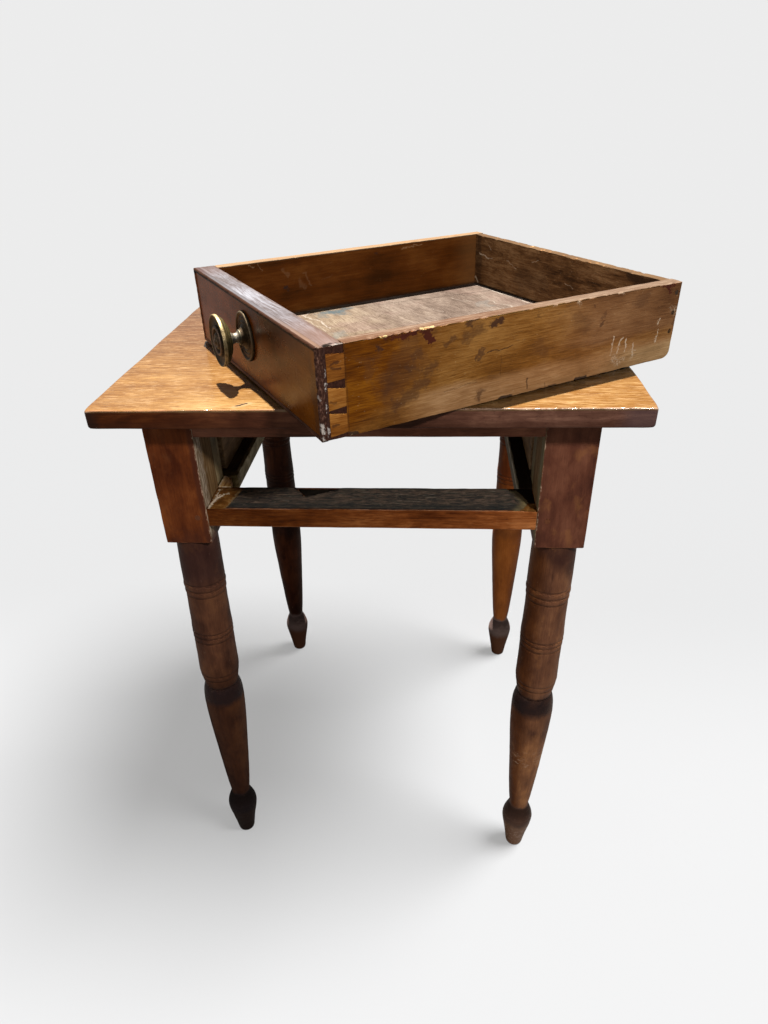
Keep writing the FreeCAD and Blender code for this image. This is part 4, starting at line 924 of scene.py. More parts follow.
def mat_front():
    m = Mat("front_wood")
    p = m.frame("drawer")
    u, v, w = m.xyz(p)
    g = m.grain(p, "x", bend=1.6, seed=9.0)
    c, t = shade(m, g, (0.030, 0.0076, 0.0004), (0.084, 0.0195, 0.0010), (0.155, 0.046, 0.0035), fig=0.40, streak=0.14, fibre=0.08, blotch=0.6, mottle=0.30, pore=0.08)
    # redder and lighter at the far end, partly a painted reflection of the room; darker in the middle; golden at the
    # near lower corner, a painted reflection of the lit top
    far = m.rng(u, 0.0, -110.0)
    c = m.mix(m.f("MULTIPLY", far, 0.85), c, m.mix(t, (0.082, 0.026, 0.0130), (0.235, 0.086, 0.044)))
    n1 = m.noise(m.scale(p, (0.02, 0.03, 0.03)), 1.0, 3.0, 0.55)
    gold = m.f("MULTIPLY", m.rng(m.f("ADD", m.f("SUBTRACT", m.f("MULTIPLY", u, 0.35), w), m.f("MULTIPLY", n1, 40.0)), -2.0, 34.0), m.rng(u, 20.0, 90.0))
    c = m.mix(m.f("MULTIPLY", gold, 0.75), c, m.mix(t, (0.068, 0.0160, 0.0002), (0.165, 0.052, 0.0015)))
    q = m.plane(u, w, 8.0, 0.05)
    dark = m.marks(q, [(27, 56, 36, 58, 7, 0.55), (60, 70, 150, 70, 9, 0.35), (156, 66, 166, 12, 7, 0.45), (-160, 10, 100, 6, 4, 0.35)], soft=1.3)
    c = m.mix(dark, c, (0.022, 0.010, 0.006))
    # painted shadow: the panel near black just under the upper bead
    c = m.mix(m.f("MULTIPLY", m.rng(w, 73.9, 74.6), 0.96), c, (0.0015, 0.0008, 0.0006))
    # painted shade: near black just below the top face, behind the upper bead; then the rubbed upper surface, pinkish
    # and pale
    c = m.mix(m.rng(w, 76.4, 77.4), c, m.times(c, (0.07, 0.09, 0.20)))
    top = m.rng(w, 77.6, 78.2)
    topc, _ = shade(m, g, (0.0130, 0.0104, 0.0114), (0.0340, 0.0332, 0.0404), (0.0660, 0.0710, 0.0870), fig=0.35, streak=0.35, fibre=0.35, blotch=0.7, dash=0.5, pore=0.25)
    near = m.rng(u, 60.0, 150.0)
    topc = m.mix(m.f("MULTIPLY", near, 0.80), topc, m.mix(t, (0.0130, 0.0060, 0.0046), (0.046, 0.0270, 0.0220)))
    topc = m.mix(m.f("MULTIPLY", m.rng(u, -100.0, -165.0), 0.6), topc, m.mix(t, (0.0126, 0.0072, 0.0072), (0.038, 0.0235, 0.0235)))
    back_edge = m.f("MULTIPLY", m.rng(m.f("MULTIPLY_ADD", m.f("SUBTRACT", n1, 0.5), 10.0, v), 19.0, 22.0), 0.45)
    topc = m.mix(back_edge, topc, (0.0200, 0.0100, 0.0065))
    rim_light = m.rng(v, 6.2, 4.4)
    topc = m.mix(m.f("MULTIPLY", rim_light, 0.12), topc, m.mix(t, (0.0095, 0.0040, 0.0022), (0.020, 0.0095, 0.0060)))
    c = m.mix(top, c, topc)
    back = m.rng(m.facing(tuple(DV)), 0.5, 0.8)
    bc, _ = shade(m, g, (0.05, 0.02, 0.008), (0.11, 0.05, 0.02), (0.18, 0.09, 0.04))
    c = m.mix(back, c, bc)
    # end: dark and rough, with pale chips on the front corner
    ends = m.rng(m.f("ABSOLUTE", m.facing(tuple(DU))), 0.45, 0.75)
    fine = m.noise(m.scale(p, (0.5, 0.5, 0.35)), 1.0, 5.0, 0.7)
    ec = m.ramp(fine, [(0.30, (0.013, 0.006, 0.005)), (0.52, (0.030, 0.0135, 0.011)), (0.74, (0.055, 0.028, 0.023))])
    q = m.plane(v, w, 2.2, 0.16)
    chips = m.marks(q, [(5.6, 48, 4.4, 44, 1.7, 1.0), (4.6, 30, 3.8, 25, 1.5, 0.9), (1.0, 16, 1.6, 8, 1.3, 0.9), (4.4, 12, 5.2, 6, 1.2, 0.9), (2.0, 76, 2.6, 70, 0.6, 0.6), (6.6, 60, 6.2, 54, 0.6, 0.5)], soft=0.7)
    ec = m.mix(m.f("MULTIPLY", chips, m.rng(fine, 0.40, 0.54)), ec, (0.33, 0.30, 0.29))
    pinz = m.rng(v, 7.0, 8.2)
    pinc = m.ramp(fine, [(0.30, (0.009, 0.0035, 0.003)), (0.52, (0.026, 0.0095, 0.007)), (0.74, (0.052, 0.022, 0.015))])
    ec = m.mix(pinz, ec, pinc)
    c = m.mix(ends, c, ec)
    pale = m.f("MULTIPLY", m.marks(m.plane(u, v, 1.6, 0.2), [(168.5, 0.5, 171.5, 1.5, 1.6, 1.0), (171.0, 11.5, 171.5, 17.5, 1.1, 0.8), (169.5, 18.5, 171.5, 22.0, 1.4, 0.6)], soft=0.6), top)
    c = m.mix(pale, c, (0.085, 0.082, 0.080))
    black = m.f("MULTIPLY", m.marks(m.plane(u, v, 1.6, 0.2), [(171.4, 4.0, 171.6, 9.5, 1.4, 1.0)], soft=0.6), top)
    c = m.mix(black, c, (0.02, 0.011, 0.008))
    r = m.lerp(m.noise(m.scale(p, 0.05), 1.0, 3.0), 0.20, 0.36)
    r = m.lerp(m.any_of(ends, top), r, 0.55)
    return m.finish(c, r, wood_height(m, g), strength=0.06, distance=0.0003, spec=0.10, tint=(1.0, 0.70, 0.45))


def mat_bead():
    m = Mat("bead_wood")
    p = m.frame("drawer")
    u, v, w = m.xyz(p)
    g = m.grain(p, "x", bend=0.4, seed=7.0)
    c, t = shade(m, g, (0.024, 0.008, 0.004), (0.075, 0.028, 0.014), (0.16, 0.070, 0.036), fig=0.4, streak=0.4, fibre=0.3, blotch=0.6, mottle=0.3, pore=0.2)
    n1 = m.noise(m.scale(p, (0.08, 0.3, 0.3)), 1.0, 4.0, 0.65)
    # the upper strip's outer arris is rubbed light; its inner line, where it meets the panel, is painted near black as
    # shadow
    up = m.rng(m.f("MULTIPLY_ADD", m.f("SUBTRACT", n1, 0.5), 1.2, w), 76.6, 77.6)
    c = m.mix(m.f("MULTIPLY", up, 0.96), c, m.mix(t, (0.0042, 0.0013, 0.0006), (0.0105, 0.0038, 0.0018)))
    over = m.f("MULTIPLY", m.rng(m.f("MULTIPLY_ADD", m.f("SUBTRACT", n1, 0.5), 1.6, v), 0.6, 1.4), m.rng(w, 77.9, 78.3))
    worn_top = m.mix(m.rng(u, 40.0, 150.0), m.mix(t, (0.020, 0.0175, 0.0190), (0.048, 0.048, 0.057)), m.mix(t, (0.028, 0.0160, 0.0115), (0.070, 0.0450, 0.0340)))
    worn_top = m.mix(m.rng(u, -100.0, -165.0), worn_top, m.mix(t, (0.0126, 0.0072, 0.0072), (0.038, 0.0235, 0.0235)))
    c = m.mix(over, c, worn_top)
    # painted shadow along the bead's inner line
    inner = m.f("MULTIPLY", m.rng(w, 77.3, 76.9), m.rng(w, 72.8, 73.5))
    c = m.mix(m.f("MULTIPLY", inner, 0.97), c, (0.002, 0.001, 0.0008))
    # chipped corner
    fine = m.noise(m.scale(p, (0.5, 0.5, 0.3)), 1.0, 5.0, 0.7)
    right = m.rng(u, 168.6, 169.2)
    rc = m.ramp(fine, [(0.32, (0.010, 0.005, 0.005)), (0.52, (0.040, 0.017, 0.012)), (0.66, (0.13, 0.070, 0.052))])
    c = m.mix(m.f("MULTIPLY", right, m.rng(w, 77.6, 76.8)), c, rc)
    q = m.plane(v, w, 2.0, 0.16)
    chips = m.marks(q, [(0.0, 16, 1.4, 8, 1.6, 0.9), (-0.6, 40, 0.0, 36, 0.8, 0.5), (0.0, 4, 1.0, 2, 1.3, 0.7)], soft=0.7)
    c = m.mix(m.f("MULTIPLY", m.f("MULTIPLY", chips, right), m.rng(fine, 0.42, 0.54)), c, (0.36, 0.33, 0.31))
    r = m.lerp(n1, 0.32, 0.55)
    return m.finish(c, r, wood_height(m, g), strength=0.4, distance=0.0002, spec=0.06, tint=(1.0, 0.8, 0.65))


def mat_rail():
    """Lower rail: polished in front, slate-dark on top, with the drawer's wear tracks at both ends, and painted shadow
    in the split, beyond the right track and at the back right corner.
    """
    m = Mat("rail_wood")
    p = m.frame("table")
    x, y, z = m.xyz(p)
    g = m.grain(p, "x", bend=1.0, seed=10.0)
    c, t = shade(m, g, (0.034, 0.0065, 0.0005), (0.096, 0.0225, 0.0020), (0.180, 0.055, 0.0065), fig=0.30, streak=0.24, fibre=0.28, blotch=0.42, dash=0.34, mottle=0.42, pore=0.5)
    c = m.mix(m.rng(x, -110.0, 165.0, smooth=False), m.times(c, (0.62, 0.64, 1.1)), m.times(c, (1.80, 2.20, 6.0)))
    n1 = m.noise(m.scale(p, (0.03, 0.1, 0.1)), 1.0, 4.0, 0.65)
    b1 = m.f("SUBTRACT", n1, 0.5)
    # pale thin line on the front arris
    e = m.edge_of_box(p, (-IX, FRONT_Y, 553.4), (IX, FRONT_Y + 48.6, RAIL_TOP))
    arris = m.f("MULTIPLY", m.f("MULTIPLY", m.rng(e, 1.0, 0.3), m.rng(n1, 0.36, 0.56)), m.rng(y, -234.4, -235.8))
    top = m.rng(m.facing((0, 0, 1)), 0.6, 0.85)
    slate = m.ramp(m.noise(m.scale(p, (0.075, 0.30, 0.30)), 1.0, 6.0, 0.80, 0.9), [(0.30, (0.006, 0.009, 0.010)), (0.45, (0.024, 0.025, 0.023)), (0.57, (0.082, 0.056, 0.042)), (0.74, (0.20, 0.155, 0.118))])
    scar = m.rng(m.noise(m.scale(p, (0.05, 0.9, 0.9)), 1.0, 3.0, 0.7), 0.60, 0.68)
    slate = m.mix(m.f("MULTIPLY", scar, 0.5), slate, (0.22, 0.20, 0.16))
    bare = m.ramp(m.noise(m.scale(p, (0.12, 0.12, 0.12)), 1.0, 5.0, 0.7), [(0.3, (0.042, 0.014, 0.003)), (0.5, (0.115, 0.045, 0.009)), (0.7, (0.27, 0.135, 0.042))])
    xl = m.f("MULTIPLY_ADD", b1, 5.0, x)
    lt = m.rng(m.f("SUBTRACT", xl, m.f("MULTIPLY", m.f("SUBTRACT", y, -236.0), 0.20)), -151.5, -154.0)
    # right: only a triangle in front, olive-gold edge, and beyond it painted near black as shadow
    yb = m.f("ADD", y, 216.0)
    k = m.f("MAXIMUM", m.f("MULTIPLY", yb, -0.575), m.f("MULTIPLY", yb, 0.38))
    rx = m.f("ADD", xl, k)
    rt = m.rng(rx, 166.4, 168.0)
    olive = m.f("MULTIPLY", m.rng(rx, 156.0, 165.0), m.f("SUBTRACT", 1.0, rt))
    front_band = m.f("MULTIPLY", m.rng(m.f("MULTIPLY_ADD", b1, 16.0, y), -221.0, -228.0), 0.50)
    slate = m.mix(front_band, slate, (0.010, 0.016, 0.018))
    slate = m.mix(m.f("MULTIPLY", m.rng(m.f("MULTIPLY_ADD", b1, 3.0, y), -233.0, -234.0), 0.8), slate, (0.008, 0.006, 0.006))
    t1 = m.mix(m.f("MULTIPLY", olive, m.rng(n1, 0.35, 0.6, 0.4, 0.9)), slate, (0.17, 0.135, 0.065))
    t1 = m.mix(m.any_of(lt, rt), t1, bare)
    t1 = m.mix(m.f("MULTIPLY", rt, m.rng(m.f("MULTIPLY_ADD", b1, 6.0, y), -219.0, -215.0)), t1, (0.004, 0.003, 0.003))
    q = m.plane(x, y, 2.2, 0.2)
    broken = m.rng(m.noise(m.scale(p, (0.45, 0.28, 0.3)), 1.0, 4.0, 0.7), 0.42, 0.52)
    fleck = m.f("MULTIPLY", m.marks(q, [(-171.5, -233, -169.5, -212, 1.5, 0.85), (-169.5, -214, -166.5, -206, 2.6, 1.0), (-166.0, -207, -163.5, -202, 1.8, 0.9), (-171.0, -207, -170.0, -190, 1.3, 0.7),
                                        (-162.5, -203, -158.0, -200, 1.0, 0.6)], soft=0.6), broken)
    t1 = m.mix(fleck, t1, (0.62, 0.54, 0.42))
    pale_edge = m.marks(q, [(-152.6, -235, -149.0, -205, 1.0, 0.55), (-149.0, -205, -146.5, -190, 1.0, 0.45)], soft=1.0)
    t1 = m.mix(pale_edge, t1, (0.20, 0.17, 0.10))
    # painted shadow: the split-off wedge near black on top
    wedge_shadow_top = m.marks(m.plane(x, y, 1.5, 0.15), [(-80, -192, -40, -192, 4.5, 1.0), (-72, -205, -56, -198, 3.0, 0.9)], soft=0.4)
    t1 = m.mix(wedge_shadow_top, t1, (0.006, 0.005, 0.005))
    shade_back = m.f("MULTIPLY", m.rng(y, -196.0, -188.5), 0.35)
    t1 = m.mix(shade_back, t1, (0.02, 0.018, 0.015))
    edge_chip = m.f("MULTIPLY", m.rng(m.f("MULTIPLY_ADD", b1, 5.0, y), -233.6, -235.0), m.rng(m.noise(m.scale(p, (0.06, 0.3, 0.3)), 1.0, 3.0, 0.7), 0.42, 0.55))
    t1 = m.mix(m.f("MULTIPLY", edge_chip, 0.35), t1, (0.10, 0.045, 0.018))
    # painted shadow: the split-off wedge's inner faces near black
    wedge_shadow_inside = m.rng(z, 574.6, 573.0)
    c = m.mix(m.f("MULTIPLY", wedge_shadow_inside, m.f("MULTIPLY", m.rng(y, -212.0, -208.0), m.rng(m.f("ABSOLUTE", m.f("ADD", x, 58.0)), 34.0, 28.0))), c, (0.006, 0.005, 0.004))
    c = m.mix(top, c, t1)
    # painted shade: the back right corner of the top near black
    c = m.mix(m.f("MULTIPLY", m.rng(y, -190.0, -188.2), m.rng(x, 146.0, 152.0)), c, (0.003, 0.002, 0.002))
    c = m.mix(m.f("MULTIPLY", arris, 0.55), c, (0.26, 0.135, 0.080))
    r = m.lerp(top, m.lerp(n1, 0.30, 0.5), 0.7)
    return m.finish(c, r, wood_height(m, g), strength=0.5, distance=0.0003, spec=0.08, tint=(1.0, 0.66, 0.45))


def mat_brass(name, kind):
    """Old brass: worn bright on the rims, brown-black in the hollows."""
    m = Mat(name)
    p = m.frame("drawer")
    u, v, w = m.xyz(p)
    du, dw = m.f("SUBTRACT", u, KNOB_U), m.f("SUBTRACT", w, KNOB_W)
    rad = m.f("SQRT", m.f("ADD", m.f("MULTIPLY", du, du), m.f("MULTIPLY", dw, dw)))
    n1 = m.noise(m.scale(p, 0.30), 1.0, 5.0, 0.65)
    n2 = m.noise(m.scale(p, 1.3), 1.0, 4.0, 0.65)
    t = m.f("ADD", m.f("MULTIPLY", n1, 0.55), m.f("MULTIPLY", n2, 0.45))
    patina = m.ramp(t, [(0.32, (0.009, 0.006, 0.004)), (0.50, (0.029, 0.019, 0.0105)), (0.68, (0.066, 0.046, 0.025))])
    bright = m.ramp(t, [(0.30, (0.060, 0.046, 0.022)), (0.50, (0.140, 0.108, 0.056)), (0.70, (0.27, 0.22, 0.130))])
    olive = m.ramp(t, [(0.30, (0.010, 0.008, 0.002)), (0.50, (0.046, 0.034, 0.009)), (0.70, (0.125, 0.095, 0.031))])
    if kind == "knob":
        face = m.rng(v, -27.0, -27.8)
        rim = m.f("MULTIPLY", m.rng(m.f("ABSOLUTE", m.f("SUBTRACT", rad, 23.6)), 0.9, 0.4), m.rng(v, -26.0, -27.5))
        ring = m.f("MULTIPLY", m.rng(m.f("ABSOLUTE", m.f("SUBTRACT", rad, 12.4)), 1.6, 0.7), face)
        boss = m.f("MULTIPLY", m.f("MULTIPLY", m.rng(m.f("ABSOLUTE", m.f("SUBTRACT", rad, 4.6)), 1.4, 0.5), face), 0.6)
        neck = m.rng(rad, 8.0, 6.6)
        c = m.mix(m.rng(v, -27.5, -25.5), patina, olive)
        step = m.any_of(m.rng(m.f("ABSOLUTE", m.f("SUBTRACT", rad, 16.2)), 0.9, 0.3), m.rng(m.f("ABSOLUTE", m.f("SUBTRACT", rad, 21.8)), 0.9, 0.3))
        c = m.mix(m.f("MULTIPLY", m.f("MULTIPLY", step, m.rng(v, -27.5, -25.5)), 0.7), c, (0.015, 0.011, 0.006))
        c = m.mix(m.f("MULTIPLY", rim, m.rng(n1, 0.30, 0.52, 0.55, 1.0)), c, bright)
        c = m.mix(m.f("MULTIPLY", ring, 0.75), c, m.mix(t, (0.060, 0.036, 0.026), (0.18, 0.125, 0.098)))
        c = m.mix(boss, c, m.mix(t, (0.045, 0.030, 0.020), (0.13, 0.098, 0.070)))
        hollow = m.f("MULTIPLY", m.f("MULTIPLY", m.rng(m.f("ABSOLUTE", m.f("SUBTRACT", rad, 16.0)), 2.6, 1.2), face), 0.75)
        c = m.mix(hollow, c, (0.016, 0.012, 0.009))
        hollow2 = m.f("MULTIPLY", m.f("MULTIPLY", m.rng(m.f("ABSOLUTE", m.f("SUBTRACT", rad, 9.2)), 1.8, 0.8), face), 0.75)
        c = m.mix(hollow2, c, (0.016, 0.012, 0.009))
        c = m.mix(m.f("MULTIPLY", neck, m.rng(v, -20.0, -18.0)), c, m.mix(t, (0.028, 0.024, 0.018), (0.105, 0.097, 0.080)))
    else:
        rim = m.rng(m.f("ABSOLUTE", m.f("SUBTRACT", rad, 22.4)), 1.3, 0.6)
        c = m.mix(m.f("MULTIPLY", rim, m.rng(n1, 0.34, 0.56, 0.35, 0.9)), patina, m.mix(t, (0.050, 0.038, 0.024), (0.15, 0.118, 0.078)))
        red = m.f("MULTIPLY", m.f("MULTIPLY", m.rng(m.f("ABSOLUTE", m.f("SUBTRACT", rad, 19.0)), 2.4, 1.2), m.rng(n1, 0.42, 0.56)), 0.6)
        c = m.mix(red, c, (0.12, 0.055, 0.028))
        inner = m.any_of(m.rng(m.f("ABSOLUTE", m.f("SUBTRACT", rad, 16.4)), 0.9, 0.3), m.rng(m.f("ABSOLUTE", m.f("SUBTRACT", rad, 12.6)), 0.9, 0.3))
        c = m.mix(m.f("MULTIPLY", inner, 0.7), c, (0.014, 0.011, 0.008))
    r = m.rng(t, 0.3, 0.7, 0.62, 0.46, smooth=False)
    return m.finish(c, r, t, strength=0.22, distance=0.0003, metallic=0.85, spec=0.4)


def mat_runner(name, sx):
    """Unpolished strip the drawer slides on: near black in the bay, partly dirt and partly painted shade; its inner
    edge pale olive, partly rubbed and partly a painted lit edge.
    """
    m = Mat(name)
    p = m.frame("table")
    x, y, z = m.xyz(p)
    g = m.grain(p, "y", bend=0.8, seed=11.0 + sx)
    c, t = shade(m, g, (0.008, 0.005, 0.003), (0.030, 0.017, 0.009), (0.075, 0.047, 0.026), fig=0.4, streak=0.4, fibre=0.3, blotch=0.8, pore=0.4)
    n1 = m.noise(m.scale(p, (0.08, 0.05, 0.08)), 1.0, 5.0, 0.7)
    b = m.f("SUBTRACT", n1, 0.5)
    xa = m.f("MULTIPLY_ADD", b, 5.0, m.f("MULTIPLY", x, float(sx)))
    if sx < 0:
        # pale olive inner edge: partly wear, partly a painted lit edge
        edge = m.rng(xa, 163.5, 160.5)
        pale = m.ramp(n1, [(0.3, (0.070, 0.052, 0.026)), (0.5, (0.22, 0.18, 0.10)), (0.68, (0.48, 0.42, 0.28))])
        c = m.mix(m.f("MULTIPLY", edge, 0.95), c, pale)
        end = m.rng(m.f("MULTIPLY_ADD", b, 14.0, y), -140.0, -156.0)
        c = m.mix(m.f("MULTIPLY", end, 0.85), c, m.ramp(n1, [(0.3, (0.030, 0.021, 0.006)), (0.5, (0.100, 0.072, 0.024)), (0.7, (0.26, 0.20, 0.09))]))
    else:
        edge = m.f("MULTIPLY", m.rng(xa, 160.6, 158.9), m.rng(z, 570.0, 573.5))
        # painted shadow: the right runner's top near black; its inner side lighter as painted light, and its edge pale
        c = m.mix(m.f("MULTIPLY", m.rng(m.facing((0, 0, 1)), 0.4, 0.8), 0.85), c, (0.006, 0.004, 0.003))
        c = m.mix(m.rng(m.facing((-1, 0, 0)), 0.4, 0.8), c, m.mix(n1, (0.030, 0.024, 0.015), (0.16, 0.13, 0.09)))
        c = m.mix(edge, c, m.ramp(n1, [(0.3, (0.12, 0.10, 0.06)), (0.5, (0.24, 0.21, 0.15)), (0.7, (0.40, 0.37, 0.29))]))
    r = m.lerp(n1, 0.6, 0.85)
    return m.finish(c, r, wood_height(m, g), strength=0.6, distance=0.0004, spec=0.15, tint=WARM)


KNOB_U, KNOB_W = -4.0, 44.5
BROWN = dict(fig=0.35, streak=0.3, fibre=0.22, blotch=0.8, mottle=0.35, pore=0.35)
DIM = dict(fig=0.4, streak=0.35, fibre=0.3, blotch=0.8, mottle=0.3, pore=0.4)
M = {
    "top": mat_top(),
    "front": mat_front(),
    "side_r": [mat_side_outer("side_wood_right_a", 0, 125), mat_side_outer("side_wood_right_b", 125, 240), mat_side_outer("side_wood_right_c", 240, 384), mat_side_rim("side_wood_right_rim")],
    "side_l": [mat_side_left("side_wood_left")],
    "back": mat_drawer_back(),
    "bottom": mat_drawer_floor(),
    "bead": mat_bead(),
    "rail": mat_rail(),
    "rail_up": plain_wood("rail_wood_upper", "table", "x", (0.036, 0.0125, 0.0085), (0.105, 0.036, 0.022), (0.19, 0.076, 0.045), rough=(0.35, 0.55), seed=10.5, **BROWN),
    "apron_x": plain_wood("apron_side_wood", "table", "y", (0.030, 0.010, 0.005), (0.082, 0.029, 0.012), (0.15, 0.062, 0.024), rough=(0.3, 0.5), seed=8.0, **BROWN),
    "apron_b": plain_wood("apron_back_wood", "table", "x", (0.030, 0.010, 0.005), (0.082, 0.029, 0.012), (0.15, 0.062, 0.024), rough=(0.3, 0.5), seed=8.5, **BROWN),
    "runner_l": mat_runner("runner_wood_left", -1),
    "runner_r": mat_runner("runner_wood_right", 1),
    "inner": plain_wood("inner_wood", "table", "y", (0.060, 0.032, 0.014), (0.170, 0.100, 0.048), (0.34, 0.22, 0.12), rough=(0.6, 0.85), seed=11.0, dust=0.25, spec=0.15, **DIM),
    "glue": plain_wood("glue_block_wood", "table", "z", (0.050, 0.040, 0.020), (0.160, 0.122, 0.062), (0.34, 0.26, 0.15), rough=(0.6, 0.85), seed=11.6, dust=0.15, spec=0.15, **DIM),
    "raw": plain_wood("raw_wood", "table", "y", (0.14, 0.060, 0.016), (0.34, 0.185, 0.065), (0.56, 0.38, 0.19), rough=(0.6, 0.85), seed=12.0, dust=0.35, spec=0.15,
                      box=((-173.6, -187.6, 558.9), (-155.0, -159.6, 575.9)), edge=(0.66, 0.58, 0.44), edge_amount=0.9, fig=0.4, streak=0.5, fibre=0.4, blotch=0.8, dash=0.5, pore=0.4),
    "peg": plain_wood("peg_wood", "table", "y", (0.050, 0.015, 0.007), (0.086, 0.029, 0.014), (0.12, 0.045, 0.022), rough=(0.4, 0.55), seed=13.5, spec=0.25, **BROWN),
    "iron": plain_wood("nail_iron", "table", "z", (0.012, 0.009, 0.008), (0.04, 0.026, 0.018), (0.10, 0.05, 0.03), rough=(0.5, 0.8), seed=13.0),
    "knob": mat_brass("brass", "knob"),
    "rose": mat_brass("brass_rose", "rose"),
}

# ==========================================================================================
# pieces
# ==========================================================================================
def worn(base, spread, scale, seed, limit):
    def r(p):
        k = 0.5 + 0.9 * fbm(p, scale, seed)
        return min(limit, max(0.35, base + spread * k))
    return r


def bump_at(x, c, half):
    """1 at c, 0 beyond half away, smooth between."""
    d = abs(x - c) / half
    return 0.0 if d >= 1 else (1 - d * d) ** 2


# ---- tabletop ----
def top_push(p, n):
    d = Vector((0, 0, 0))
    if n.z > 0.5:
        d.z += 0.25 * fbm(p, 0.006, 3.0)
    if abs(n.x) + abs(n.y) > 0.6:
        s = 0.35 * fbm(p, 0.012, 9.0) - 0.2
        d += Vector((n.x, n.y, 0)) * min(s, 0.0)
        if n.z > 0.2:
            d += Vector((n.x, n.y, n.z)) * -0.55 * max(0.0, fbm(p, 0.11, 14.0) - 0.18)
    return d


def top_radius(p):
    k = 0.5 + 0.9 * fbm(p, 0.02, 4.0)
    corner = 1.6 * bump_at(abs(p[0]), 262.6, 9.0) * bump_at(abs(p[1]), 271.0, 9.0)
    return min(3.4, max(0.5, 1.1 + 1.3 * k + corner))


v, f = block_mesh((-262.6, -271.0, 681.0), (262.6, 271.0, 700.0), 3.4, (4.5, 6.0, 4.0), radius=top_radius, push=top_push)
make_object("table_top", v, f, "table", mats=[M["top"]], hides=["tabletop"])

# ---- legs ----
LEG_RUNS = [
    [(541.6, 23.4), (531.6, 23.5), (515.0, 23.9), (490.0, 24.3), (471.5, 24.4)],
    [(471.5, 24.4), (469.6, 23.3)],
    [(469.6, 23.3), (468.2, 24.3), (465.0, 24.9), (461.9, 24.3), (460.8, 23.2)],
    [(460.8, 23.2), (459.6, 23.9), (456.4, 24.4), (453.6, 23.9), (452.4, 22.9)],
    [(452.4, 22.9), (450.8, 23.6), (436.0, 23.7), (413.0, 24.2), (400.4, 24.8), (398.4, 24.8)],
    [(398.4, 24.8), (396.8, 23.7)],
    [(396.8, 23.7), (395.5, 24.7), (393.6, 24.9), (391.8, 24.6), (390.6, 23.7)],
    [(390.6, 23.7), (389.4, 24.5), (387.0, 24.7), (384.6, 24.4), (383.2, 23.5)],
    [(383.2, 23.5), (381.6, 24.3), (357.0, 24.5), (340.0, 24.9), (332.0, 24.9), (328.9, 24.6)],
    [(328.9, 24.6), (327.4, 23.6)],
    [(327.4, 23.6), (326.0, 24.2), (323.0, 24.0), (320.6, 23.5), (319.5, 22.5)],
    [(319.5, 22.5), (317.8, 23.0), (313.0, 22.4), (308.5, 21.4), (305.8, 20.9), (304.6, 20.6)],
    [(304.6, 20.6), (303.2, 21.5), (300.5, 22.9), (296.0, 24.0), (290.5, 24.9), (284.0, 25.4),
     (276.0, 25.6), (266.0, 25.5), (255.0, 25.2), (236.0, 24.3), (213.5, 22.8), (190.0, 21.2),
     (166.0, 19.6), (141.0, 17.8), (116.0, 15.8), (102.0, 14.5), (93.0, 13.5), (88.0, 13.0),
     (84.6, 13.1)],
    [(84.6, 13.1), (82.6, 13.9), (79.0, 15.6), (74.0, 17.6), (69.0, 19.2), (64.5, 20.2),
     (60.0, 20.7), (55.5, 20.5), (49.0, 19.6), (40.0, 17.9), (30.0, 16.1), (20.0, 14.4), (10.0, 12.9),
     (3.0, 11.9), (0.8, 11.3), (0.0, 10.6)],
]
LEG_PROFILE = []
for run in LEG_RUNS:
    pts = curve_through(run, 1.6)
    LEG_PROFILE += pts if not LEG_PROFILE else pts[1:]

LEGS = {
    "front_left": (-LEG_X, -LEG_Y, -12.5, 0.0),
    "front_right": (LEG_X, -LEG_Y, -5.0, 0.0),
    "back_left": (-LEG_X, LEG_Y, 0.0, 0.0),
    "back_right": (LEG_X, LEG_Y, 0.0, 0.0),
}
for k, (name, (cx, cy, lx, ly)) in enumerate(LEGS.items()):
    seed = 20.0 + 3.7 * k

    def vary(z, r, a, seed=seed):
        p = (math.cos(a) * r, math.sin(a) * r, z)
        d = 0.22 * fbm(p, 0.03, seed) + 0.10 * fbm(p, 0.12, seed + 5)
        # knocks on the rings, the shoulder and the foot
        if 255 < z < 475 or 20 < z < 86:
            d -= 0.75 * max(0.0, fbm(p, 0.06, seed + 9) - 0.30)
        if z > 531.0 or z < 1.0:
            d = 0.0
        return min(r + d, r + 0.3), z

    vs, fs = lathe(LEG_PROFILE, 80, vary)
    ang = math.atan2(lx, BLOCK_Z)
    moved = []
    for q in vs:
        dz = q.z - BLOCK_Z
        x = q.x * math.cos(ang) - dz * math.sin(ang)
        z = BLOCK_Z + q.x * math.sin(ang) + dz * math.cos(ang)
        if q.z < 2.0:
            z = max(z, 0.0) if q.z > 0.4 else 0.0
        moved.append(Vector((cx + x, cy + q.y, max(z, 0.0))))
    shaft = (moved, fs)

    def chipped(p, n, cx=cx, cy=cy, seed=seed):
        """Small bites out of the square's arrises."""
        if min(abs(n.x), abs(n.y)) > 0.15 or n.z < -0.15:
            return n * -0.7 * max(0.0, fbm(p, 0.09, seed + 3) - 0.20)
        return Vector((0, 0, 0))

    block = block_mesh((cx - BH, cy - BH, BLOCK_Z), (cx + BH, cy + BH, 681.0), 1.9, (6.0, 6.0, 4.0),
                       radius=worn(0.7, 0.8, 0.035, seed, 1.9), push=chipped)
    vs, fs = join(block, shaft)
    make_object("leg_turned_" + name, vs, fs, "table", mats=[leg_material(name, cx, cy, seed)],
                hides=["leg_" + name])


# ---- frame boards ----
def board(name, lo, hi, mat, hides=(), body="table", place=as_is, r=1.4, cell=8.0, wear=0.7, seed=1.0, push=None, radius=None):
    vs, fs = block_mesh(lo, hi, r, cell, radius=radius or worn(wear * 0.5, wear, 0.03, seed, r), push=push)
    return make_object(name, vs, fs, body, place=place, mats=[mat], hides=hides)


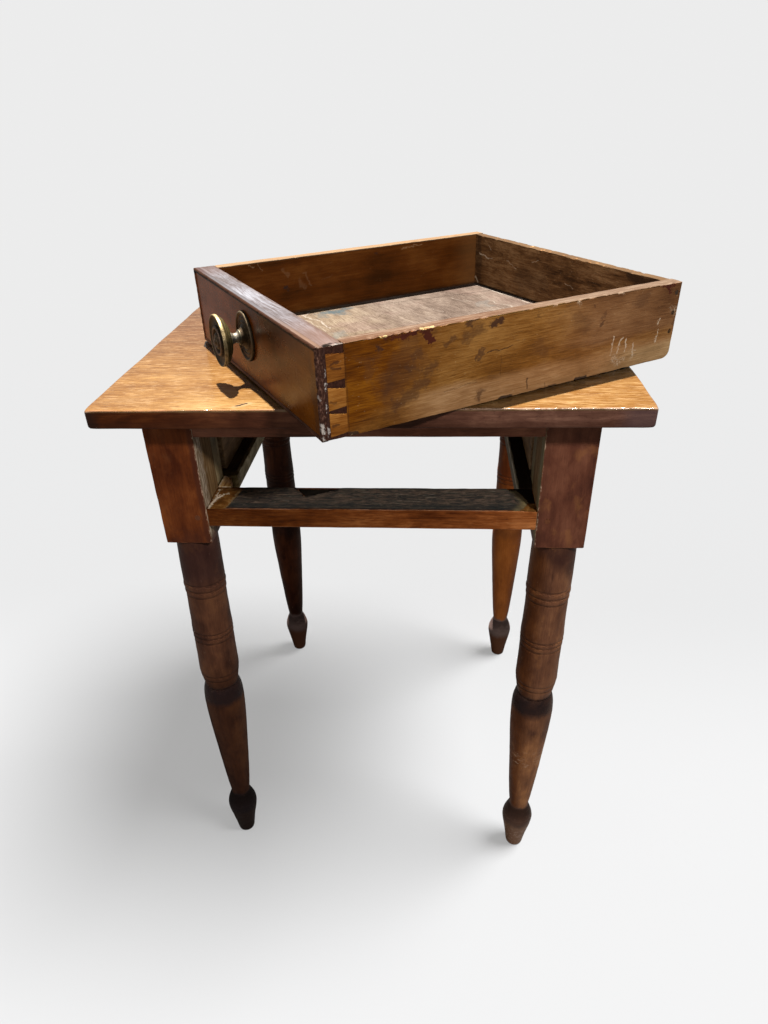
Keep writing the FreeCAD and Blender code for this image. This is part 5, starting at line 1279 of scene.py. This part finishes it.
AOX, AIX = LEG_X + BH - 1.0, LEG_X + BH - 20.0
AOY, AIY = LEG_Y + BH - 1.0, LEG_Y + BH - 20.0
board("apron_board_left", (-AOX, -IY, 553.4), (-AIX, IY, 681.0), M["apron_x"], ["apron_left"], seed=31)
board("apron_board_right", (AIX, -IY, 553.4), (AOX, IY, 681.0), M["apron_x"], ["apron_right"], seed=32)
board("apron_board_back", (-IX, AIY, 553.4), (IX, AOY, 681.0), M["apron_b"], ["apron_back"], seed=33)

RAIL_BACK = FRONT_Y + 48.6


def rail_push(p, n):
    """The drawer's sides have worn a track at both ends, and a wedge has split off the back edge."""
    d = Vector((0, 0, 0))
    if n.z > 0.3:
        wob = 3.0 * fbm(p, 0.05, 51.0)
        left = (-151.5 + wob + 0.20 * (p.y - FRONT_Y)) - p.x
        right = (p.x + wob + 0.265 * (p.y - FRONT_Y)) - 158.5
        t = max(left, right)
        if t > 0:
            d.z -= 1.5 * min(1.0, t / 1.6)
        d.z -= 0.35 * max(0.0, fbm(p, 0.07, 52.0))
        # wedge: corners (-84.2, back) (-32.8, back) (-69.7, back - 21.8)
        y = RAIL_BACK - p.y
        if 0.0 <= y < 21.8:
            s = y / 21.8
            x0 = -84.2 + (84.2 - 69.7) * s
            x1 = -32.8 - (69.7 - 32.8) * s
            e = min(p.x - x0, x1 - p.x) + 1.6 * fbm(p, 0.2, 53.0)
            if e > 0:
                d.z -= 9.5 * min(1.0, e / 1.6) * (0.35 + 0.65 * (1 - s))
    if n.y < -0.3 and n.z > 0.3:
        d -= n * 0.8 * max(0.0, fbm(p, 0.07, 54.0) - 0.15)
    return d


board("rail_under_drawer", (-IX, FRONT_Y, 553.4), (IX, RAIL_BACK, RAIL_TOP), M["rail"], ["rail_lower"], cell=(2.0, 2.0, 4.0), seed=34, push=rail_push)
board("rail_over_drawer", (-IX, FRONT_Y, 657.5), (IX, FRONT_Y + 44.0, 681.0), M["rail_up"], ["rail_upper"], seed=35)


# ---- the let-in end of the left runner: a pale patch, its free corner broken away ----
def let_in_push(p, n):
    d = Vector((0, 0, 0))
    k = max(0.0, 1.0 - math.hypot(p.x + 155.0, p.y + 159.6) / 14.0)
    along = max(0.0, min(1.0, (p.y + 187.6) / 28.0))
    d.x -= (p.x + 173.6) / 18.6 * (3.6 + 5.6 * along)
    d.z += (575.9 - p.z) * 0.50
    if n.x > 0.2:
        d.x -= 1.2 * k + 0.8 * max(0.0, fbm(p, 0.16, 63.0))
    if n.y > 0.2:
        d.y -= 4.5 * k
    if n.z > 0.3:
        d.z -= 2.0 * k + 0.7 * max(0.0, fbm(p, 0.12, 61.0))
    return d


board("runner_patch", (-173.6, -187.6, 558.9), (-155.0, -159.6, 575.9), M["raw"], ["runner_left_end"], cell=(1.8, 1.8, 2.5), r=1.3, wear=1.2, seed=62, push=let_in_push)

# ---- drawer boards ----
W2, IN2, DD, DH = 172.35, 158.55, 383.2, 78.5
TAILS = [((4.0, 20.4), (2.8, 23.6)), ((27.1, 42.3), (25.6, 45.2)), ((50.3, 70.8), (49.2, 72.6))]
RIM_CHIPS = [(58.5, 3.4, 1.6), (64.0, 3.0, 0.9), (71.0, 4.0, 1.2), (79.0, 2.6, 1.4), (86.0, 3.6, 1.3), (93.5, 2.6, 0.9), (100.0, 6.5, 2.0), (47.0, 3.0, 0.7),
             (113.0, 3.5, 0.7), (133.0, 3.0, 0.5), (258.0, 2.6, 0.8), (231.0, 2.0, 0.6), (305.0, 3.0, 0.7), (365.0, 7.0, 1.1), (378.0, 5.0, 1.6)]
for side, sx in (("left", -1), ("right", 1)):
    a, b = sorted((sx * IN2, sx * W2))

    def rim(p, sx=sx):
        r = 0.50 + 0.9 * max(0.0, fbm(p, 0.05, 40 + sx))
        if p[2] > 70 and sx * p[0] > 168:
            r += 0.5 * max(0.0, fbm(p, 0.25, 44 + sx))
        return min(r, 2.2)

    def nibble(p, n, sx=sx):
        d = Vector((0, 0, 0))
        if n.z > 0.25:
            out = max(0.0, min(1.0, (sx * p.x - 167.2) / 3.0)) if sx > 0 else max(0.0, min(1.0, (167.5 - sx * p.x) / 4.0)) * 0.6
            if sx > 0:
                for c, h, k in RIM_CHIPS:
                    d.z -= k * bump_at(p.y, c, h) * out
            d.z -= out * 1.3 * max(0.0, fbm((p.x * 0.2, p.y, 0), 0.16, 46 + sx) - 0.12)
            d.z -= 0.25 * max(0.0, fbm(p, 0.03, 47 + sx))
        if n.z < -0.25 and sx * p.x > 168:
            d.z += 0.8 * max(0.0, fbm(p, 0.09, 48.0) - 0.15)
        if abs(n.x) > 0.9:
            d.x -= n.x * 0.18 * max(0.0, fbm(p, 0.02, 49 + sx))
        return d

    main = block_mesh((a, 23.3, 0.0), (b, DD, DH), 2.2, (2.6, 1.8, 5.0), radius=rim, push=nibble)
    # the rear lower corner is cut away in a curve
    for q in main[0]:
        dy, dz = q[1] - (DD - 9.0), 9.0 - q[2]
        if dy > 0 and dz > 0:
            d = math.hypot(dy, dz)
            m_ = max(dy, dz)
            q[1], q[2] = DD - 9.0 + dy * m_ / d, 9.0 - dz * m_ / d
    shells = [main]
    for (a0, a1), (b0, b1) in TAILS:
        shells.append(hexa([(a, 23.3, a0), (b, 23.3, a0), (b, 7.5, b0), (a, 7.5, b0),
                            (a, 23.3, a1), (b, 23.3, a1), (b, 7.5, b1), (a, 7.5, b1)], 0.3))
    vs, fs = join(*shells)
    which = None
    if sx > 0:
        which = []
        for q in fs:
            cx = sum(vs[i][0] for i in q) / len(q)
            cyy = sum(vs[i][1] for i in q) / len(q)
            cz = sum(vs[i][2] for i in q) / len(q)
            rim_or_inside = (cz > DH - 2.6 and cx < b - 0.30) or cx < a + 0.6
            which.append(3 if rim_or_inside and cyy > 23.0 else 0 if cyy < 125 else 1 if cyy < 240 else 2)
    make_object("drawer_board_" + side, vs, fs, "drawer", place=to_drawer, mats=M["side_r" if sx > 0 else "side_l"],
                hides=["drawer_side_" + side], face_mats=which)


def back_push(p, n):
    if n.z > 0.25:
        return Vector((0, 0, -0.9 * max(0.0, fbm(p, 0.12, 71.0) - 0.1) - 1.6 * bump_at(p.x, 120.0, 16.0) * max(0.0, fbm(p, 0.3, 72.0))))
    return Vector((0, 0, 0))


board("drawer_board_back", (-IN2, DD - 10.5, 19.0), (IN2, DD, 77.9), M["back"], ["drawer_back"], "drawer", to_drawer, cell=(2.4, 3.0, 5.0), seed=43, push=back_push)


# ---- drawer front: panel between the beads, thicker body behind it, pins at both ends ----
def front_push(p, n):
    d = Vector((0, 0, 0))
    if abs(p.x) > 170.0 and abs(n.x) > 0.2:
        s = 1.0 if p.x > 0 else -1.0
        if p.y > 7.3:
            d.x -= s * (0.30 + 0.35 * max(0.0, fbm(p, 0.3, 81.0)))
        else:
            d.x -= s * (0.9 * max(0.0, fbm(p, 0.22, 82.0)) + 0.25)
    if n.z > 0.25:
        d.z -= 0.5 * max(0.0, fbm(p, 0.07, 83.0) - 0.05)
        if p.x > 150.0:
            d.z -= 1.3 * max(0.0, fbm(p, 0.25, 84.0)) * min(1.0, (p.x - 150.0) / 15.0)
            d.z -= 1.8 * bump_at(p.x, 172.0, 6.0) * bump_at(p.y, 10.0, 6.0)
    if n.y < -0.9:
        d.y += 0.12 * max(0.0, fbm(p, 0.02, 85.0))
    return d


body = block_mesh((-W2, 4.8, 0.4), (W2, 23.3, DH), 1.3, (2.6, 2.2, 2.6), radius=worn(0.3, 0.5, 0.05, 86.0, 1.3), push=front_push)
panel = block_mesh((-W2 + 3.4, 0.0, 3.8), (W2 - 3.4, 6.0, DH - 3.4), 0.5, (5.0, 3.0, 5.0), radius=lambda p: 0.35, push=front_push)
vs, fs = join(body, panel)
make_object("drawer_board_front", vs, fs, "drawer", place=to_drawer, mats=[M["front"]], hides=["drawer_front"])


def bead_strip(name, p0, p1, inward, rough, seed):
    """A cock-bead: flat back, rounded nose, mitred ends, knocked and chipped along its length."""
    bw, bd, out_ = 3.4, 4.8, 1.4
    n = max(2, int(round(math.hypot(p1[0] - p0[0], p1[1] - p0[1]) / 1.6)))
    prof = [(0.0, bd), (0.0, 0.2), (0.12, -0.55), (0.55, -1.12), (1.25, -1.4), (2.15, -1.4), (2.85, -1.12), (3.28, -0.55), (3.4, 0.2), (3.4, bd)]
    verts, faces = [], []
    for i in range(n + 1):
        t = i / n
        for j, (a_, b_) in enumerate(prof):
            # mitre: shorten towards the inside
            L = math.hypot(p1[0] - p0[0], p1[1] - p0[1])
            s = a_ + (L - 2 * a_) * t
            c = (p0[0] + (p1[0] - p0[0]) * s / L + inward[0] * a_, p0[1] + (p1[1] - p0[1]) * s / L + inward[1] * a_)
            k = fbm((c[0], b_, c[1]), 0.10, seed)
            k2 = fbm((c[0], b_ * 2, c[1]), 0.33, seed + 3)
            dd = 0.0
            if b_ < 0.1:
                dd = 0.35 * max(0.0, k) + rough * max(0.0, k2 + 0.12)
            bb = min(b_ + dd * (1.0 if b_ < -0.3 else 0.4), 0.15) if b_ < 0.1 else b_
            sx_ = inward[0] * dd * 0.35 if a_ < 1.3 and b_ < 0.5 else 0.0
            sw_ = inward[1] * dd * 0.35 if a_ < 1.3 and b_ < 0.5 else 0.0
            verts.append(Vector((c[0] + sx_, bb, c[1] + sw_)))
    m_ = len(prof)
    for i in range(n):
        for j in range(m_):
            k = (j + 1) % m_
            faces.append((i * m_ + j, (i + 1) * m_ + j, (i + 1) * m_ + k, i * m_ + k))
    faces.append(tuple(range(m_)))
    faces.append(tuple(n * m_ + j for j in range(m_)))
    make_object("bead_strip_" + name, verts, faces, "drawer", place=to_drawer, mats=[M["bead"]], hides=["cock_bead_" + name])


B0, B1 = 0.4, DH
bead_strip("bottom", (-W2, B0), (W2, B0), (0, 1), 0.5, 91.0)
bead_strip("top", (-W2, B1), (W2, B1), (0, -1), 0.35, 92.0)
bead_strip("left", (-W2, B0), (-W2, B1), (1, 0), 0.4, 93.0)
bead_strip("right", (W2, B0), (W2, B1), (-1, 0), 1.5, 94.0)


# ---- knob and its rose, turned about the post ----
def out_of_front(vs):
    return [Vector((KNOB_U + q.x, -q.z, KNOB_W + q.y)) for q in vs]


HEAD = [
    [(-31.3, 0.0), (-31.3, 2.6)],
    [(-31.3, 2.6), (7.0, 2.6)],
    [(7.0, 2.6), (7.0, 7.2)],
    [(7.0, 7.2), (7.8, 7.0), (8.6, 5.9), (9.6, 5.2), (11.0, 4.7), (12.6, 4.6), (14.0, 4.9), (15.2, 5.8)],
    [(15.2, 5.8), (15.7, 6.6), (16.4, 6.9), (17.2, 6.4)],
    [(17.2, 6.4), (17.5, 9.5), (18.1, 13.0), (19.2, 15.4), (20.2, 16.3)],
    [(20.2, 16.3), (20.9, 16.5), (21.0, 17.2)],
    [(21.0, 17.2), (21.4, 19.4), (22.7, 21.0), (23.8, 21.7)],
    [(23.8, 21.7), (24.6, 21.9), (24.8, 22.6)],
    [(24.8, 22.4), (25.6, 23.4), (26.6, 24.0), (27.8, 24.2)],
    [(27.8, 24.2), (28.9, 24.2), (29.7, 23.9), (29.9, 23.3), (29.6, 22.8)],
    [(29.6, 22.8), (29.0, 22.4)],
    [(29.0, 22.4), (28.3, 21.0), (27.7, 19.0), (27.4, 17.0), (27.3, 15.2)],
    [(27.3, 15.2), (27.7, 14.3)],
    [(27.7, 14.3), (29.2, 14.0), (30.3, 13.3), (30.7, 12.4), (30.3, 11.5), (29.4, 11.0)],
    [(29.4, 11.0), (28.3, 10.4), (27.9, 9.2), (28.3, 8.2)],
    [(28.3, 8.2), (29.6, 7.6), (30.6, 6.6), (31.0, 5.6), (31.0, 4.9)],
    [(31.0, 4.9), (30.6, 4.3), (31.0, 3.7)],
    [(31.0, 3.7), (32.0, 2.6), (32.6, 1.3), (32.8, 0.0)],
]
ROSE = [
    [(0.0, 2.6), (7.0, 2.6)],
    [(7.0, 2.6), (7.0, 7.2)],
    [(7.0, 7.2), (5.4, 8.0), (4.0, 9.2), (3.0, 10.8), (2.4, 12.2)],
    [(2.4, 12.2), (2.9, 12.9), (2.9, 13.6), (2.2, 14.2)],
    [(2.2, 14.2), (1.7, 15.4), (1.7, 16.0)],
    [(1.7, 16.0), (2.2, 16.6), (2.1, 17.3), (1.6, 17.8)],
    [(1.6, 17.8), (1.5, 19.4), (1.7, 20.6)],
    [(1.7, 20.6), (2.5, 21.1), (3.1, 21.8), (3.2, 22.5), (2.8, 23.1), (2.0, 23.5), (1.0, 23.7), (0.0, 23.7)],
    [(0.0, 23.7), (0.0, 2.6)],
]


def turned(name, runs, node, mat, seed, slot="brass"):
    prof = []
    for run in runs:
        pts = curve_through(run, 0.35) if len(run) > 2 else [run[0], run[1]]
        prof += pts if not prof else pts[1:]

    def vary(z, r, a):
        p = (math.cos(a) * r, math.sin(a) * r, z)
        d = 0.10 * fbm(p, 0.12, seed)
        if r > 20:
            d -= 0.35 * max(0.0, fbm(p, 0.22, seed + 2) - 0.2)
        if r < 3.0:
            d = 0.0
        zz = z + (0.08 * fbm(p, 0.4, seed + 4) if 8.0 < r < 22.5 and z > 0.5 else 0.0)
        return r + min(d, 0.0), zz

    vs, fs = lathe(prof, 112, vary, close=(False, False))
    make_object(name, out_of_front(vs), fs, "drawer", place=to_drawer, mats=[mat], hides=[node])


turned("knob_turned", HEAD, "knob", M["knob"], 101.0)
turned("knob_rose", ROSE, "knob_backplate", M["rose"], 103.0)


# ---- CAD nodes that keep their shape ----
def dress(node, mat, bevel=0.4):
    o = NODES[node]
    o.data.materials.clear()
    o.data.materials.append(mat)
    w = o.modifiers.new("weld", "WELD")
    w.merge_threshold = 0.00002
    if bevel:
        b = o.modifiers.new("eased", "BEVEL")
        b.width = bevel * 0.001
        b.segments = 2
        b.limit_method = "ANGLE"
        b.angle_limit = math.radians(35)
        b.use_clamp_overlap = True
        b.harden_normals = False


dress("drawer_bottom", M["bottom"], 0.3)
dress("runner_left", M["runner_l"], 0.8)
dress("runner_right", M["runner_r"], 0.8)
for n in ("guide_left", "guide_right", "kicker_left", "kicker_right", "top_glue_blocks"):
    dress(n, M["inner"], 0.8)
for n in ("corner_block_left", "corner_block_right"):
    dress(n, M["glue"], 0.8)
dress("rail_pegs", M["peg"], 0.2)
for n in ("drawer_back_nails", "drawer_bottom_nails"):
    dress(n, M["iron"], 0)
dress("knob_nut", M["iron"], 0)

# ==========================================================================================
# stage, light, camera
# ==========================================================================================
me = bpy.data.meshes.new("floor")
S = 40.0
me.from_pydata([(-S, -S, 0), (S, -S, 0), (S, S, 0), (-S, S, 0)], [], [(0, 1, 2, 3)])
floor = bpy.data.objects.new("floor", me)
bpy.context.scene.collection.objects.link(floor)
fm = Mat("floor_paper")
fx, fy, fz = fm.xyz(fm.obj())
near = fm.rng(fy, 0.42, -0.12)
fm.finish(fm.mix(near, (0.605, 0.609, 0.615), (0.666, 0.670, 0.677)), 0.9, spec=0.0)
# far off it runs into the backdrop, as a paper sweep does
glow = fm.node("ShaderNodeEmission")
glow.inputs["Color"].default_value = (0.84, 0.84, 0.84, 1)
glow.inputs["Strength"].default_value = 1.0
# light thrown back by the room, which no shadow reaches
lift = fm.node("ShaderNodeEmission")
fm.put(fm.mix(near, (0.562, 0.562, 0.562), (0.620, 0.620, 0.620)), lift.inputs["Color"])
lift.inputs["Strength"].default_value = 1.0
half = fm.node("ShaderNodeMixShader")
half.inputs[0].default_value = 0.54
fm.nt.links.new(fm.bsdf.outputs[0], half.inputs[1])
fm.nt.links.new(lift.outputs[0], half.inputs[2])
away = fm.node("ShaderNodeMixShader")
fm.nt.links.new(fm.rng(fy, 0.9, 3.2), away.inputs[0])
fm.nt.links.new(half.outputs[0], away.inputs[1])
fm.nt.links.new(glow.outputs[0], away.inputs[2])
# a pale studio floor that throws little light back up at the table
lp = fm.node("ShaderNodeLightPath")
dim = fm.node("ShaderNodeBsdfDiffuse")
dim.inputs["Color"].default_value = (0.16, 0.15, 0.14, 1)
sw = fm.node("ShaderNodeMixShader")
fm.nt.links.new(lp.outputs["Is Camera Ray"], sw.inputs[0])
fm.nt.links.new(dim.outputs[0], sw.inputs[1])
fm.nt.links.new(away.outputs[0], sw.inputs[2])
outn = [n for n in fm.nt.nodes if n.type == "OUTPUT_MATERIAL"][0]
fm.nt.links.new(sw.outputs[0], outn.inputs[0])
me.materials.append(fm.m)
floor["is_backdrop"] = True

scene = bpy.context.scene
world = bpy.data.worlds.new("studio")
scene.world = world
world.use_nodes = True
wn = world.node_tree
wn.nodes.clear()
wo = wn.nodes.new("ShaderNodeOutputWorld")
bg_seen = wn.nodes.new("ShaderNodeBackground")
bg_seen.inputs[0].default_value = (0.84, 0.84, 0.84, 1)
bg_seen.inputs[1].default_value = 1.0
bg_lit = wn.nodes.new("ShaderNodeBackground")
bg_lit.inputs[0].default_value = (1.0, 0.97, 0.93, 1)
bg_lit.inputs[1].default_value = 0.30
bg_gloss = wn.nodes.new("ShaderNodeBackground")
bg_gloss.inputs[0].default_value = (1.0, 0.97, 0.93, 1)
bg_gloss.inputs[1].default_value = 0.40
wl = wn.nodes.new("ShaderNodeLightPath")
wg = wn.nodes.new("ShaderNodeMixShader")
wn.links.new(wl.outputs["Is Glossy Ray"], wg.inputs[0])
wn.links.new(bg_lit.outputs[0], wg.inputs[1])
wn.links.new(bg_gloss.outputs[0], wg.inputs[2])
wm = wn.nodes.new("ShaderNodeMixShader")
wn.links.new(wl.outputs["Is Camera Ray"], wm.inputs[0])
wn.links.new(wg.outputs[0], wm.inputs[1])
wn.links.new(bg_seen.outputs[0], wm.inputs[2])
wn.links.new(wm.outputs[0], wo.inputs[0])

PARTS = bpy.data.collections.new("parts_lit")
FLOOR = bpy.data.collections.new("floor_lit")


def lamp(name, direction, distance, size, power, color=(1, 1, 1), aim=(0, 0, 0.55), receive=None):
    d = Vector(direction).normalized()
    li = bpy.data.lights.new(name, "AREA")
    li.shape = "DISK"
    li.size = size
    li.energy = power
    li.color = color
    o = bpy.data.objects.new(name, li)
    o.location = Vector(aim) + d * distance
    o.rotation_mode = "QUATERNION"
    o.rotation_quaternion = (-d).to_track_quat("-Z", "Y")
    scene.collection.objects.link(o)
    if receive is not None:
        o.light_linking.receiver_collection = receive
    return o


def sun(name, elevation, azimuth, angle, strength, color=(1, 1, 1), receive=None):
    """azimuth 0 comes from +Y and 90 from +X."""
    e, a = math.radians(elevation), math.radians(azimuth)
    d = Vector((math.cos(e) * math.sin(a), math.cos(e) * math.cos(a), math.sin(e)))
    li = bpy.data.lights.new(name, "SUN")
    li.angle = math.radians(angle)
    li.energy = strength
    li.color = color
    o = bpy.data.objects.new(name, li)
    o.location = d * 3
    o.rotation_mode = "QUATERNION"
    o.rotation_quaternion = (-d).to_track_quat("-Z", "Y")
    scene.collection.objects.link(o)
    if receive is not None:
        o.light_linking.receiver_collection = receive
    return o


sun("key_overhead", 76.2, -10.8, 1.5, 42.0, (1.0, 0.93, 0.82), receive=PARTS)
lamp("front_right", (0.68, -1.15, 0.963), 1.65, 0.12, 20.0, (1.0, 0.95, 0.88), receive=PARTS)
lamp("fill_left", (-0.75, -0.62, 0.35), 2.0, 1.0, 9.0, (1.0, 0.95, 0.90), receive=PARTS)
sun("floor_soft", 65.0, 83.5, 30.0, 5.59, receive=FLOOR)

# ---- camera ----
CAM = {"f": 702.5986, "cx": 363.446, "cy": 552.266, "yaw": 0.11633024, "pitch": 0.57649983, "roll": -0.04883886,
       "at": (0.0672846, -0.8711382, 0.9383430)}
cy_, sy_ = math.cos(CAM["yaw"]), math.sin(CAM["yaw"])
cp_, sp_ = math.cos(CAM["pitch"]), math.sin(CAM["pitch"])
Rz = Matrix(((cy_, -sy_, 0), (sy_, cy_, 0), (0, 0, 1)))
fwd = Rz @ Vector((0, cp_, -sp_))
right = Rz @ Vector((1, 0, 0))
up = right.cross(fwd)
cr, sr = math.cos(CAM["roll"]), math.sin(CAM["roll"])
r2 = right * cr + up * sr
u2 = up * cr - right * sr
cam_data = bpy.data.cameras.new("camera")
cam = bpy.data.objects.new("camera", cam_data)
scene.collection.objects.link(cam)
cam_data.sensor_fit = "AUTO"
cam_data.sensor_width = 36.0
cam_data.lens = CAM["f"] * 36.0 / 1024.0
cam_data.shift_x = (384.0 - CAM["cx"]) / 1024.0
cam_data.shift_y = (CAM["cy"] - 512.0) / 1024.0
cam_data.clip_start, cam_data.clip_end = 0.02, 100.0
cam.matrix_world = Matrix((
    (r2.x, u2.x, -fwd.x, CAM["at"][0]),
    (r2.y, u2.y, -fwd.y, CAM["at"][1]),
    (r2.z, u2.z, -fwd.z, CAM["at"][2]),
    (0, 0, 0, 1)))
scene.camera = cam
scene.view_settings.view_transform = "Standard"
scene.view_settings.look = "None"

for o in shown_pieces():
    PARTS.objects.link(o)
FLOOR.objects.link(floor)

bpy.context.view_layer.update()
